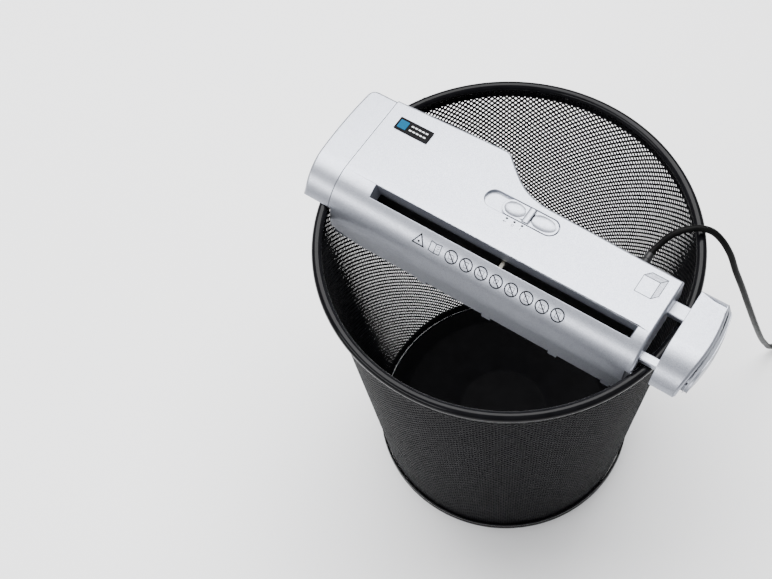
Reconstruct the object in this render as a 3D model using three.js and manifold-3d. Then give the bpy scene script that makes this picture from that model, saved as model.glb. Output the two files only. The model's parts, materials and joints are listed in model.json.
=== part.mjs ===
// A paper shredder that sits across the rim of its own round mesh waste basket.
// Millimetres. Origin: centre of the basket's base on the floor. +X runs along the head towards the
// telescopic end, +Y to the back (the cord side), +Z up.
import * as THREE from 'three';
import { mergeVertices } from 'three/addons/utils/BufferGeometryUtils.js';
import Module from 'manifold-3d';

const wasm = await Module();
wasm.setup();

// ---- driving dimensions -------------------------------------------------------------------------

const GAP = 0.3; // between pieces that touch
const ROUND = 48; // facets round the basket

// basket
const RIM_MAJOR = 143.5; // centre circle of the rolled rim
const RIM_TUBE = 4;
const RIM_Z = 327.8;
const RIM_TOP = RIM_Z + RIM_TUBE;
const SKIRT_BOTTOM = 317.5;
const WALL_TOP = 322.5;
const WALL_BOTTOM = 1.5;
const WALL_R_TOP = 141.4;
const WALL_R_BASE = 117;
const WALL_THICK = 1.2;
const BASE_R = 119.7;
const BASE_HEIGHT = 9;

// shredder head
const TOP = 353; // roof of the head
const PARTING = RIM_TOP + GAP; // undersides of the parts that lie on the rim
const LEFT = -129.8; // joint between the body and the left cap
const RIGHT = 132.2;
const LOWER_LEFT = -127.5; // the skirt of the upper housing drops inside the rim
const LOWER_RIGHT = 127.6;
const FRONT_ARC_Y = -18; // centre of the rounded front
const FRONT_ARC_R = 34.5;
const FRONT_ARC_Z = TOP - FRONT_ARC_R;
const SEAM_Z = 303.5; // upper housing above, lower housing below
const FLOOR_Z = 293.5;
const SHELL = 2;
const CAP_BACK = 49.5;
const END_BACK = 24;
const END_INNER = 145.8;

// paper path
const SLOT_LEFT = -101.2;
const SLOT_RIGHT = 122.1;
const THROAT_FRONT = -29.2;
const THROAT_BACK = -22.4;
const THROAT_TOP = 340;

// cutting rollers
const NIP_Z = 312;
const FRONT_SHAFT = new THREE.Vector2(-35.5, NIP_Z);
const REAR_SHAFT = new THREE.Vector2(-15.5, NIP_Z);
const DISC_R = 11.5;
const HUB_R = 8;
const SHAFT_R = 4;
const LANE = 6.9;
const LANES = 32;
const LANES_LEFT = -100;
const ROLLER_SIDES = 12;

// gear train, four planes between the left plate and the gearbox cover
const PLANE_1 = [-123, -119.2];
const PLANE_2 = [-118.8, -115];
const PLANE_3 = [-114.6, -110.8];
const PLANE_4 = [-110.4, -106.6];
const MOTOR_AXIS = new THREE.Vector2(28.5, 332);
const MOTOR_R = 17.5;
const STAGE_A = { module: 1.25, pinion: 10, wheel: 24 };
const STAGE_B = { module: 1, pinion: 10, wheel: 36 };
const STAGE_C = { module: 0.8, pinion: 10, wheel: 36 };
const SYNC = { module: 1.25, wheel: 16 };
const AXLE_R = 2;
const AXLE_BORE = 2.35;

// telescopic arms
const ARM_BOTTOM = PARTING;
const ARM_TOP = 337.8;
const ARM_INNER_END = 60;
const ARM_OUTER_END = 169;
const FRONT_ARM = [-38.5, -31];
const REAR_ARM = [3.6, 16];

// selector
const OVAL_CENTRE = new THREE.Vector2(4.9, 12.8);
const OVAL_LENGTH = 62.2;
const OVAL_WIDTH = 15.6;
const SLIDER_LEFT = -11;

// mains cord
const CORD_R = 2.6;
const EXIT_X = 95.8;
const EXIT_Z = 325;
const RELIEF_END = 46;
const COIL_CENTRE = new THREE.Vector2(255, 185);
const COIL_MEAN_R = 28.5;
const PLUG_X = 290;
const PLUG_Z = 7.15;
const PLUG_BACK = 77.4;
const PLUG_FACE = 42;

// ---- colours ------------------------------------------------------------------------------------

const finish = (color, roughness, metalness) => ({ color, roughness, metalness });
const SILVER = finish(0xc6c8ce, 0.38, 0.35);
const BLACK_STEEL = finish(0x15161a, 0.35, 0.4);
const BLACK_PLASTIC = finish(0x17171a, 0.45, 0);
const STEEL = finish(0x8f9296, 0.35, 0.9);
const NYLON = finish(0xe6e2d6, 0.55, 0);
const BRASS = finish(0xb08d4f, 0.35, 0.9);
const BOARD = finish(0x2e6b3c, 0.6, 0);
const CORD_BLACK = finish(0x121214, 0.5, 0);
const RED = finish(0xb0251f, 0.5, 0);

const model = new THREE.Group();

function add(name, shape, look, group = model) {
  const geometry = shape.isManifoldShape ? shape.geometry() : shape;
  const material = new THREE.MeshStandardMaterial(look);
  const mesh = new THREE.Mesh(geometry, material);
  mesh.name = name;
  group.add(mesh);
  return mesh;
}

// ---- solids -------------------------------------------------------------------------------------

// A closed solid that can be joined and cut.
class Solid {
  constructor(manifold) {
    this.manifold = manifold;
    this.isManifoldShape = true;
  }

  static from(source) {
    let geometry = source.clone();
    geometry.deleteAttribute('normal');
    geometry.deleteAttribute('uv');
    geometry = mergeVertices(geometry, 1e-4);
    const positions = geometry.attributes.position.array;
    const index = dropSlivers(Array.from(geometry.index.array));
    if (signedVolume(positions, index) < 0) {
      flip(index);
    }
    const mesh = new wasm.Mesh({
      numProp: 3,
      vertProperties: new Float32Array(positions),
      triVerts: new Uint32Array(index),
    });
    return new Solid(new wasm.Manifold(mesh));
  }

  join(...others) {
    return others.reduce((all, other) => new Solid(all.manifold.add(other.manifold)), this);
  }

  cut(...others) {
    return others.reduce((all, other) => new Solid(all.manifold.subtract(other.manifold)), this);
  }

  keep(other) {
    return new Solid(this.manifold.intersect(other.manifold));
  }

  geometry() {
    const mesh = this.manifold.getMesh();
    const geometry = new THREE.BufferGeometry();
    const position = new THREE.BufferAttribute(new Float32Array(mesh.vertProperties), 3);
    geometry.setAttribute('position', position);
    geometry.setIndex(Array.from(mesh.triVerts));
    geometry.computeVertexNormals();
    return geometry;
  }
}

function dropSlivers(index) {
  const kept = [];
  for (let i = 0; i < index.length; i += 3) {
    const [a, b, c] = index.slice(i, i + 3);
    if (a !== b && b !== c && c !== a) {
      kept.push(a, b, c);
    }
  }
  return kept;
}

function signedVolume(positions, index) {
  const corner = (i) => new THREE.Vector3().fromArray(positions, index[i] * 3);
  let volume = 0;
  for (let i = 0; i < index.length; i += 3) {
    volume += corner(i).dot(corner(i + 1).cross(corner(i + 2)));
  }
  return volume / 6;
}

function flip(index) {
  for (let i = 0; i < index.length; i += 3) {
    [index[i + 1], index[i + 2]] = [index[i + 2], index[i + 1]];
  }
}

function toShape(points) {
  return new THREE.Shape(points.map(([a, b]) => new THREE.Vector2(a, b)));
}

function extruded(shape, length) {
  return new THREE.ExtrudeGeometry(shape, { depth: length, bevelEnabled: false, curveSegments: 6 });
}

// Outline in (y, z), drawn out along X.
function alongX(points, x0, x1, holes = []) {
  const shape = toShape(points);
  holes.forEach((hole) => shape.holes.push(toShape(hole)));
  const axes = new THREE.Matrix4().makeBasis(
    new THREE.Vector3(0, 1, 0),
    new THREE.Vector3(0, 0, 1),
    new THREE.Vector3(1, 0, 0),
  );
  return Solid.from(extruded(shape, x1 - x0).applyMatrix4(axes).translate(x0, 0, 0));
}

// Outline in (x, y), drawn out along Z.
function alongZ(points, z0, z1, holes = []) {
  const shape = toShape(points);
  holes.forEach((hole) => shape.holes.push(toShape(hole)));
  return Solid.from(extruded(shape, z1 - z0).translate(0, 0, z0));
}

// Outline in (x, z), drawn out along Y.
function alongY(points, y0, y1) {
  const axes = new THREE.Matrix4().makeBasis(
    new THREE.Vector3(1, 0, 0),
    new THREE.Vector3(0, 0, 1),
    new THREE.Vector3(0, -1, 0),
  );
  return Solid.from(extruded(toShape(points), y1 - y0).applyMatrix4(axes).translate(0, y1, 0));
}

function block([x0, x1], [y0, y1], [z0, z1]) {
  const geometry = new THREE.BoxGeometry(x1 - x0, y1 - y0, z1 - z0);
  geometry.translate((x0 + x1) / 2, (y0 + y1) / 2, (z0 + z1) / 2);
  return Solid.from(geometry);
}

function circle(cx, cy, radius, sides, phase = 0) {
  return Array.from({ length: sides }, (unused, i) => {
    const angle = phase + (i * 2 * Math.PI) / sides;
    return [cx + radius * Math.cos(angle), cy + radius * Math.sin(angle)];
  });
}

// Stadium outline: a slot with round ends.
function stadium(cx, cy, length, width, steps = 8) {
  const half = (length - width) / 2;
  const points = [];
  for (let i = 0; i <= steps; i += 1) {
    const angle = -Math.PI / 2 + (i * Math.PI) / steps;
    points.push([cx + half + (width / 2) * Math.cos(angle), cy + (width / 2) * Math.sin(angle)]);
  }
  for (let i = 0; i <= steps; i += 1) {
    const angle = Math.PI / 2 + (i * Math.PI) / steps;
    points.push([cx - half + (width / 2) * Math.cos(angle), cy + (width / 2) * Math.sin(angle)]);
  }
  return points;
}

const rodX = (x0, x1, y, z, radius, sides = 12) => alongX(circle(y, z, radius, sides), x0, x1);
const postZ = (x, y, z0, z1, radius, sides = 12) => alongZ(circle(x, y, radius, sides), z0, z1);

// Profile of [radius, height] turned about an axis through (0, 0, 0) along Z. A profile that doesn't
// start and end on the axis closes on itself.
function turned(profile, sides) {
  const points = profile.map(([r, h]) => new THREE.Vector2(r, h));
  if (profile[0][0] !== 0) {
    points.push(points[0].clone());
  }
  return new THREE.LatheGeometry(points, sides).rotateX(Math.PI / 2);
}

const turnedZ = (profile, x, y, sides) => Solid.from(turned(profile, sides).translate(x, y, 0));
const turnedX = (profile, y, z, sides) =>
  Solid.from(turned(profile, sides).rotateY(Math.PI / 2).translate(0, y, z));
const turnedY = (profile, x, z, sides) =>
  Solid.from(turned(profile, sides).rotateX(-Math.PI / 2).translate(x, 0, z));

// A round cord through the points, cut off square at both ends.
function tube(points, radius, steps, sides) {
  const path = new THREE.CatmullRomCurve3(points.map((p) => new THREE.Vector3(...p)), false, 'centripetal');
  const section = toShape(circle(0, 0, radius, sides));
  return Solid.from(new THREE.ExtrudeGeometry(section, { steps, bevelEnabled: false, extrudePath: path }));
}

// ---- outlines of the head -----------------------------------------------------------------------

// Section across the head in (y, z): flat roof, quarter-round front, straight drop to `bottom`.
function headSection(inset, bottom) {
  const back = 70;
  const radius = FRONT_ARC_R - inset;
  const points = [[back, bottom], [back, TOP - inset]];
  const sweep = bottom > FRONT_ARC_Z ? Math.acos((bottom - FRONT_ARC_Z) / radius) : Math.PI / 2;
  const steps = 7;
  for (let i = 0; i <= steps; i += 1) {
    const angle = (i * sweep) / steps;
    points.push([FRONT_ARC_Y - radius * Math.sin(angle), FRONT_ARC_Z + radius * Math.cos(angle)]);
  }
  if (bottom < FRONT_ARC_Z) {
    points.push([FRONT_ARC_Y - radius, bottom]);
  }
  return points;
}

// Plan of the body in (x, y): wide over the motor at the left, narrow at the right, with an S-shaped
// shoulder between them. `inset` moves the back edge in.
function bodyPlan(left, right, inset) {
  const front = -70;
  const shoulder = new THREE.CubicBezierCurve(
    new THREE.Vector2(24 - 0.6 * inset, 26.3 - inset),
    new THREE.Vector2(0, 27 - inset),
    new THREE.Vector2(-8 - 0.6 * inset, 34 - inset),
    new THREE.Vector2(-26 - 0.6 * inset, 50.5 - inset),
  );
  const curve = shoulder.getPoints(7).map((p) => [p.x, p.y]);
  return [
    [left, front],
    [right, front],
    [right, 24 - inset],
    ...curve,
    [-32 - 0.6 * inset, 54.3 - inset],
    [-57, 53.7 - inset],
    [left, 50.7 - inset],
  ];
}

// Plan of the left cap: a shallow outward arc with rounded corners.
function capPlan(inset) {
  const points = [[LEFT - GAP, -70]];
  points.push([LEFT - GAP, CAP_BACK - inset]);
  points.push([-149, CAP_BACK - inset]);
  const bulge = (y) => -156.6 + 0.0012 * (y - 5) ** 2 + inset;
  for (let y = 44; y >= -56; y -= 12.5) {
    points.push([bulge(y), y]);
  }
  points.push([bulge(-70), -70]);
  return points.reverse();
}

// Plan of the outer end cap: straight inner edge, outward arc on the far side.
function endPlan(inset, back) {
  const bulge = (y) => 174.6 - 0.0037 * (y + 10) ** 2 - inset;
  const points = [[END_INNER, -70]];
  for (let y = -56; y <= back - 5; y += 10.7) {
    points.push([bulge(y), y]);
  }
  points.push([bulge(back - 3) - 1, back - 3 - inset]);
  points.push([bulge(back - 3) - 4, back - inset]);
  points.push([END_INNER, back - inset]);
  return points;
}

// ---- basket -------------------------------------------------------------------------------------

const WALL_FLARE = (WALL_R_TOP - WALL_R_BASE) / (WALL_TOP - WALL_BOTTOM);
const wallRadius = (z) => WALL_R_BASE + WALL_FLARE * (z - WALL_BOTTOM);

function basketRim() {
  const inner = (z) => wallRadius(z) + GAP;
  const profile = [
    [inner(SKIRT_BOTTOM), SKIRT_BOTTOM],
    [RIM_MAJOR + 1.9, SKIRT_BOTTOM],
    [RIM_MAJOR + 2.9, 325],
  ];
  const steps = 7;
  for (let i = 0; i <= steps; i += 1) {
    const angle = -0.7 + (i * 4.2) / steps;
    profile.push([RIM_MAJOR + RIM_TUBE * Math.cos(angle), RIM_Z + RIM_TUBE * Math.sin(angle)]);
  }
  profile.push([inner(WALL_TOP), WALL_TOP + 1.5]);
  profile.push([inner(WALL_TOP), WALL_TOP]);
  return turnedZ(profile, 0, 0, ROUND);
}

function basketWall() {
  const profile = [
    [wallRadius(WALL_BOTTOM) - WALL_THICK, WALL_BOTTOM],
    [wallRadius(WALL_BOTTOM), WALL_BOTTOM],
    [wallRadius(WALL_TOP), WALL_TOP],
    [wallRadius(WALL_TOP) - WALL_THICK, WALL_TOP],
  ];
  return turnedZ(profile, 0, 0, ROUND);
}

function baseHoop() {
  const inner = (z) => wallRadius(z) + GAP;
  const profile = [
    [inner(WALL_BOTTOM), 0],
    [BASE_R - 0.6, 0],
    [BASE_R, 1],
    [BASE_R, BASE_HEIGHT - 1],
    [BASE_R - 0.6, BASE_HEIGHT],
    [inner(BASE_HEIGHT), BASE_HEIGHT],
  ];
  return turnedZ(profile, 0, 0, ROUND);
}

function floorPan() {
  const outer = wallRadius(WALL_BOTTOM) - WALL_THICK - GAP;
  const profile = [[0, 0], [outer, 0], [outer, 2.6], [outer - 1.2, 2.6], [outer - 1.2, 1.2], [0, 1.2]];
  return turnedZ(profile, 0, 0, ROUND);
}

const basket = new THREE.Group();
model.add(basket);
add('basket_rim', basketRim(), BLACK_STEEL, basket);
add('basket_wall', basketWall(), BLACK_STEEL, basket);
add('basket_base_hoop', baseHoop(), BLACK_STEEL, basket);
add('basket_floor_pan', floorPan(), BLACK_STEEL, basket);

// ---- housings -----------------------------------------------------------------------------------

const head = new THREE.Group();
model.add(head);

const SCREW_PLACES = [[-115, 43.2], [-40, 46], [113, 19.3]];
const SCREW_HEAD_R = 2.2;
const SCREW_SHANK_R = 1.25;
const BOSS_R = 3;
const BOSS_MEET = SEAM_Z - GAP;
const MID = 332.3; // above this height the housing is a little wider than the rim opening

// The lower edge of the skirt rises towards both ends, outline in (x, z).
const EDGE_RISE = [[LOWER_LEFT - 8, SEAM_Z - 2], [-95, SEAM_Z - 2], [-95, SEAM_Z], [-107, SEAM_Z + 1.3],
  [-120, SEAM_Z + 5], [-131, SEAM_Z + 11.5], [LOWER_LEFT - 8, SEAM_Z + 12]];
const TAB_PLACES = [-44, 14, 71.5, 115.5];
const TAB_RISE = 2.8;

function upperHousing() {
  const wide = alongZ(bodyPlan(LEFT, RIGHT, 0), MID, 360);
  const skirt = alongZ(bodyPlan(LOWER_LEFT, LOWER_RIGHT, 1), SEAM_Z, MID + 0.01);
  const cavityPlan = bodyPlan(LOWER_LEFT + SHELL, LOWER_RIGHT - SHELL, 1 + SHELL);
  const cavity = alongX(headSection(SHELL, 300), -135, 135).keep(alongZ(cavityPlan, 300, 360));
  const section = alongX(headSection(0, SEAM_Z), -135, 135);
  let shell = section.keep(wide.join(skirt)).cut(cavity);
  shell = shell.cut(alongY(EDGE_RISE, -56, -46));
  for (const x of TAB_PLACES) {
    shell = shell.cut(block([x - 3.8, x + 3.8], [-56, -48], [SEAM_Z - 1, SEAM_Z + TAB_RISE + GAP]));
  }

  // funnel for the paper, hanging from the roof
  const roofInside = TOP - SHELL + 0.5;
  const funnel = [[-38.2, roofInside], [-30.7, THROAT_TOP], [-20.9, THROAT_TOP], [-21.8, roofInside]];
  const mouth = [[-35.7, TOP + 1], [THROAT_FRONT, THROAT_TOP], [THROAT_FRONT, 330], [THROAT_BACK, 330],
    [THROAT_BACK, THROAT_TOP], [-23.3, TOP + 1]];
  const underRoof = alongX(headSection(0.5, 300), -135, 135);
  shell = shell.join(alongX(funnel, SLOT_LEFT - 1.6, SLOT_RIGHT + 1.6).keep(underRoof));
  shell = shell.cut(alongX(mouth, SLOT_LEFT, SLOT_RIGHT));

  // oval recess of the selector, with a slot for the slider's stem
  const tray = stadium(OVAL_CENTRE.x, OVAL_CENTRE.y, OVAL_LENGTH + 2.8, OVAL_WIDTH + 2.8);
  const recess = stadium(OVAL_CENTRE.x, OVAL_CENTRE.y, OVAL_LENGTH, OVAL_WIDTH);
  shell = shell.join(alongZ(tray, 348.6, roofInside)).cut(alongZ(recess, 350, TOP + 1));
  shell = shell.cut(block([-4.4, 15], [OVAL_CENTRE.y - 2.5, OVAL_CENTRE.y + 2.5], [340, 352]));

  // ways out for the two arms and the mains cord
  for (const [front, rear] of [FRONT_ARM, REAR_ARM]) {
    const clear = 0.4;
    const heights = [ARM_BOTTOM - clear, ARM_TOP + clear];
    shell = shell.cut(block([120, 140], [front - clear, rear + clear], heights));
  }
  shell = shell.cut(turnedY([[0, 15], [4.1, 15], [4.1, 35], [0, 35]], EXIT_X, EXIT_Z, 12));

  // screw bosses
  for (const [x, y] of SCREW_PLACES) {
    shell = shell.join(postZ(x, y, BOSS_MEET + GAP, roofInside, BOSS_R));
  }
  for (const [x, y] of SCREW_PLACES) {
    shell = shell.cut(postZ(x, y, BOSS_MEET - 1, 331.5, SCREW_SHANK_R + GAP, 8));
  }
  return shell;
}

const PAN_FRONT = -51.3;

function lowerHousing() {
  const left = LOWER_LEFT + 0.7;
  const right = LOWER_RIGHT - 0.7;
  const top = SEAM_Z - GAP;
  // in (y, z): the front wall leans back towards the floor
  const leaning = (inset) => {
    const frontAt = (z) => PAN_FRONT + inset + 0.42 * (top - z);
    const [low, high] = [FLOOR_Z + inset, top + inset];
    return alongX([[70, low], [70, high], [frontAt(high), high], [frontAt(low), low]], -140, 140);
  };
  const plan = (inset) => alongZ(bodyPlan(left + inset, right - inset, 2.2 + inset), 290, 310);
  const half = (inset) => leaning(inset).keep(plan(inset));
  let shell = half(0).cut(half(SHELL));

  // snap tabs that stand in the notches of the skirt, and a lip behind each raised corner of its edge
  for (const x of TAB_PLACES) {
    const tab = block([x - 3.5, x + 3.5], [PAN_FRONT - 0.9, PAN_FRONT + 0.9], [top - 4, SEAM_Z + TAB_RISE]);
    shell = shell.join(tab);
  }
  for (const [x0, x1] of [[LOWER_LEFT + SHELL + GAP, -106], [124.4, LOWER_RIGHT - SHELL - GAP]]) {
    shell = shell.join(block([x0, x1], [PAN_FRONT + 1.1, PAN_FRONT + 2.1], [top - 1.5, SEAM_Z + 14]));
  }
  // discharge opening under the rollers
  shell = shell.cut(block([-102, 121.6], [-42, -6], [FLOOR_Z - 1, FLOOR_Z + SHELL + 1]));
  for (const [x, y] of SCREW_PLACES) {
    shell = shell.join(postZ(x, y, FLOOR_Z + 0.5, BOSS_MEET, BOSS_R));
  }
  for (const [x, y] of SCREW_PLACES) {
    shell = shell.cut(postZ(x, y, FLOOR_Z + 2.2, BOSS_MEET + 1, SCREW_SHANK_R + GAP, 8));
    shell = shell.cut(postZ(x, y, FLOOR_Z - 1, FLOOR_Z + 2.6, SCREW_HEAD_R + GAP, 10));
  }
  // posts for the circuit board
  for (const x of [-31, 38]) {
    shell = shell.join(postZ(x, 14, FLOOR_Z + 1, 333.7, 2.6, 8));
  }
  return shell;
}

function leftCap() {
  const outer = alongX(headSection(0, PARTING), -170, LEFT - GAP).keep(alongZ(capPlan(0), 300, 360));
  const hollow = alongX(headSection(SHELL, PARTING + SHELL), -170, -120)
    .keep(alongZ(capPlan(SHELL), 300, 360).join(block([-140, -120], [-70, CAP_BACK - SHELL], [300, 360])));
  return outer.cut(hollow);
}

function screw(x, y, headBottom, tip) {
  const profile = [
    [0, headBottom],
    [SCREW_HEAD_R, headBottom],
    [SCREW_HEAD_R, headBottom + 1.6],
    [SCREW_SHANK_R, headBottom + 2.2],
    [SCREW_SHANK_R, tip],
    [0, tip],
  ];
  return turnedZ(profile, x, y, 8);
}

add('upper_housing', upperHousing(), SILVER, head);
add('lower_housing', lowerHousing(), SILVER, head);
add('left_cap', leftCap(), SILVER, head);
add('badge_plate', block([-119.3, -88.7], [26.6, 38.6], [TOP + 0.15, TOP + 0.75]), BLACK_PLASTIC, head);
SCREW_PLACES.forEach(([x, y], i) => {
  add(`housing_screw_${i + 1}`, screw(x, y, FLOOR_Z + 0.1, 330), STEEL, head);
});

// ---- frame, rollers, guides ---------------------------------------------------------------------

const LEFT_PLATE = [-105.5, -103.5];
const RIGHT_PLATE = [122, 124];
const RODS = [[-44.5, 325.5], [-6.5, 326.4], [3.5, 303]];
const ROD_R = 2.5;
const BUSH_R = 6.8;

function plateHoles() {
  const bushes = [FRONT_SHAFT, REAR_SHAFT].map((shaft) => circle(shaft.x, shaft.y, BUSH_R + GAP, 12));
  const rods = RODS.map(([y, z]) => circle(y, z, ROD_R + GAP, 8));
  return [...bushes, ...rods];
}

const stageC = gearPair(STAGE_C);
const stageB = gearPair(STAGE_B);
const stageA = gearPair(STAGE_A);
const AXIS_1_DROP = Math.sqrt(stageC.centres ** 2 - 6.5 ** 2);
const AXIS_1 = new THREE.Vector2(MOTOR_AXIS.x - 6.5, MOTOR_AXIS.y - AXIS_1_DROP);
const AXIS_2 = meetingPoint(REAR_SHAFT, stageA.centres, AXIS_1, stageB.centres);

function gearPair({ module, pinion, wheel }) {
  return { centres: (module * (pinion + wheel)) / 2 };
}

// The upper of the two points at distance ra from a and rb from b.
function meetingPoint(a, ra, b, rb) {
  const line = b.clone().sub(a);
  const span = line.length();
  const along = (ra ** 2 - rb ** 2 + span ** 2) / (2 * span);
  const across = Math.sqrt(ra ** 2 - along ** 2);
  const unit = line.divideScalar(span);
  return new THREE.Vector2(
    a.x + unit.x * along - unit.y * across,
    a.y + unit.y * along + unit.x * across,
  );
}

const leftPlateOutline = [[46, 296.3], [46, 347], [-28, 347], [-41, 339], [-48.3, 326], [-48.3, 305],
  [-44.3, 296.3]].reverse();
const leftPlateHoles = [
  ...plateHoles(),
  circle(AXIS_1.x, AXIS_1.y, AXLE_R + GAP, 8),
  circle(AXIS_2.x, AXIS_2.y, AXLE_R + GAP, 8),
  circle(MOTOR_AXIS.x, MOTOR_AXIS.y, 3, 8),
];
const rightPlateOutline = [[18, 296.3], [18, 330.4], [-46, 330.4], [-48.3, 327], [-48.3, 305],
  [-44.3, 296.3]].reverse();

function cuttingRoller(shaftLeft, discsOnOddLanes) {
  const profile = [[0, shaftLeft], [SHAFT_R, shaftLeft], [SHAFT_R, LANES_LEFT]];
  for (let lane = 0; lane < LANES; lane += 1) {
    const isDisc = (lane % 2 === 1) === discsOnOddLanes;
    const start = LANES_LEFT + lane * LANE;
    const side = GAP / 2;
    const radius = isDisc ? DISC_R : HUB_R;
    const step = isDisc ? side : -side;
    profile.push([radius, lane === 0 && !isDisc ? start : start + step]);
    profile.push([radius, lane === LANES - 1 && !isDisc ? start + LANE : start + LANE - step]);
  }
  profile.push([SHAFT_R, LANES_LEFT + LANES * LANE], [SHAFT_R, 124.6], [0, 124.6]);
  return profile;
}

const bush = (x0, shaft) => turnedX([[SHAFT_R + 0.35, x0], [BUSH_R, x0], [BUSH_R, x0 + 3.4],
  [SHAFT_R + 0.35, x0 + 3.4]], shaft.x, shaft.y, 12);

// A comb whose fingers reach into the lanes that hold no disc, to strip the paper from the hubs.
function stripperComb([barFront, barBack], [fingerFront, fingerBack], freeLanesAreOdd) {
  let comb = block([LEFT_PLATE[1] + GAP, RIGHT_PLATE[0] - GAP], [barFront, barBack], [303.5, 322]);
  for (let lane = freeLanesAreOdd ? 1 : 0; lane < LANES; lane += 2) {
    const start = LANES_LEFT + lane * LANE;
    comb = comb.join(block([start + 0.7, start + LANE - 0.7], [fingerFront, fingerBack], [307.5, 316.5]));
  }
  return comb;
}

add('frame_plate_left', alongX(leftPlateOutline, ...LEFT_PLATE, leftPlateHoles), STEEL, head);
add('frame_plate_right', alongX(rightPlateOutline, ...RIGHT_PLATE, plateHoles()), STEEL, head);
['front', 'rear', 'lower'].forEach((place, i) => {
  add(`tie_rod_${place}`, rodX(-106.4, 124.7, ...RODS[i], ROD_R, 8), STEEL, head);
});
for (const [place, shaft] of [['front', FRONT_SHAFT], ['rear', REAR_SHAFT]]) {
  add(`bush_${place}_left`, bush(-106.2, shaft), BRASS, head);
  add(`bush_${place}_right`, bush(121.2, shaft), BRASS, head);
}
const frontRoller = turnedX(cuttingRoller(-110.3, false), FRONT_SHAFT.x, FRONT_SHAFT.y, ROLLER_SIDES);
const rearRoller = turnedX(cuttingRoller(-114.4, true), REAR_SHAFT.x, REAR_SHAFT.y, ROLLER_SIDES);
add('cutting_roller_front', frontRoller, STEEL, head);
add('cutting_roller_rear', rearRoller, STEEL, head);
add('stripper_comb_front', stripperComb([-49.2, -47.8], [-48, -44.1], true), NYLON, head);
add('stripper_comb_rear', stripperComb([-2.6, -1.2], [-6.9, -2.4], false), NYLON, head);

const LEVER_X = 10;
const GUIDE_SPAN = [-102.6, 121.4];
const GUIDE_Z = [325, THROAT_TOP - GAP];
const rearGuide = block(GUIDE_SPAN, [THROAT_BACK, THROAT_BACK + 1.3], GUIDE_Z)
  .cut(block([LEVER_X - 2.2, LEVER_X + 2.2], [THROAT_BACK - 1, THROAT_BACK + 2], [326.5, 338.5]));
add('paper_guide_front', block(GUIDE_SPAN, [THROAT_FRONT - 1.3, THROAT_FRONT], GUIDE_Z), BLACK_PLASTIC, head);
add('paper_guide_rear', rearGuide, BLACK_PLASTIC, head);

// ---- gear train ---------------------------------------------------------------------------------

// Outline of a spur gear about (y, z) = centre, with a tooth centred on the angle `phase`.
function gearOutline(centre, teeth, module, phase) {
  const pitchR = (teeth * module) / 2;
  const root = pitchR - 1.1 * module;
  const tip = pitchR + 0.85 * module;
  const pitch = (2 * Math.PI) / teeth;
  const at = (radius, angle) => [centre.x + radius * Math.cos(angle), centre.y + radius * Math.sin(angle)];
  const points = [];
  for (let i = 0; i < teeth; i += 1) {
    const middle = phase + i * pitch;
    points.push(at(root, middle - 0.29 * pitch));
    points.push(at(tip, middle - 0.12 * pitch));
    points.push(at(tip, middle + 0.12 * pitch));
    points.push(at(root, middle + 0.29 * pitch));
  }
  return points;
}

function spurGear(centre, teeth, module, phase, [x0, x1], bore) {
  return alongX(gearOutline(centre, teeth, module, phase), x0, x1, [circle(centre.x, centre.y, bore, 10)]);
}

// The phase that puts gear B in mesh with gear A.
function meshPhase(centreA, teethA, phaseA, centreB, teethB) {
  const direction = Math.atan2(centreB.y - centreA.y, centreB.x - centreA.x);
  const pitchA = (2 * Math.PI) / teethA;
  const pitchB = (2 * Math.PI) / teethB;
  const offsetA = (direction - phaseA) / pitchA;
  return direction + Math.PI - (0.5 - offsetA) * pitchB;
}

const SHAFT_BORE = SHAFT_R + GAP;
const rearPhase = Math.PI / SYNC.wheel;
const frontPhase = meshPhase(REAR_SHAFT, SYNC.wheel, rearPhase, FRONT_SHAFT, SYNC.wheel);
const drivePhase = 0;
const pinion2Phase = meshPhase(REAR_SHAFT, STAGE_A.wheel, drivePhase, AXIS_2, STAGE_A.pinion);
const wheel2Phase = 0;
const pinion1Phase = meshPhase(AXIS_2, STAGE_B.wheel, wheel2Phase, AXIS_1, STAGE_B.pinion);
const wheel1Phase = 0;
const motorPhase = meshPhase(AXIS_1, STAGE_C.wheel, wheel1Phase, MOTOR_AXIS, STAGE_C.pinion);

function compoundGear(axis, wheelTeeth, wheelModule, wheelPhase, wheelPlane, pinionTeeth, pinionModule,
  pinionPhase, pinionPlane) {
  const wheel = alongX(gearOutline(axis, wheelTeeth, wheelModule, wheelPhase), ...wheelPlane);
  const pinion = alongX(gearOutline(axis, pinionTeeth, pinionModule, pinionPhase), ...pinionPlane);
  const neckRadius = (pinionTeeth * pinionModule) / 2 - 1.15 * pinionModule;
  const neck = rodX(wheelPlane[1] - 1, pinionPlane[0] + 1, axis.x, axis.y, neckRadius, 10);
  return wheel.join(pinion, neck).cut(rodX(-130, -100, axis.x, axis.y, AXLE_BORE, 10));
}

const wheelOn = (axis, { wheel, module }, phase, plane) =>
  spurGear(axis, wheel, module, phase, plane, SHAFT_BORE);
add('sync_gear_front', wheelOn(FRONT_SHAFT, SYNC, frontPhase, PLANE_4), STEEL, head);
add('sync_gear_rear', wheelOn(REAR_SHAFT, SYNC, rearPhase, PLANE_4), STEEL, head);
add('drive_gear', wheelOn(REAR_SHAFT, STAGE_A, drivePhase, PLANE_3), STEEL, head);
add('second_reduction_gear', compoundGear(AXIS_2, STAGE_B.wheel, STAGE_B.module, wheel2Phase, PLANE_2,
  STAGE_A.pinion, STAGE_A.module, pinion2Phase, PLANE_3), NYLON, head);
add('first_reduction_gear', compoundGear(AXIS_1, STAGE_C.wheel, STAGE_C.module, wheel1Phase, PLANE_1,
  STAGE_B.pinion, STAGE_B.module, pinion1Phase, PLANE_2), NYLON, head);
const motorPinion = spurGear(MOTOR_AXIS, STAGE_C.pinion, STAGE_C.module, motorPhase, PLANE_1, 1.8);
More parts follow.
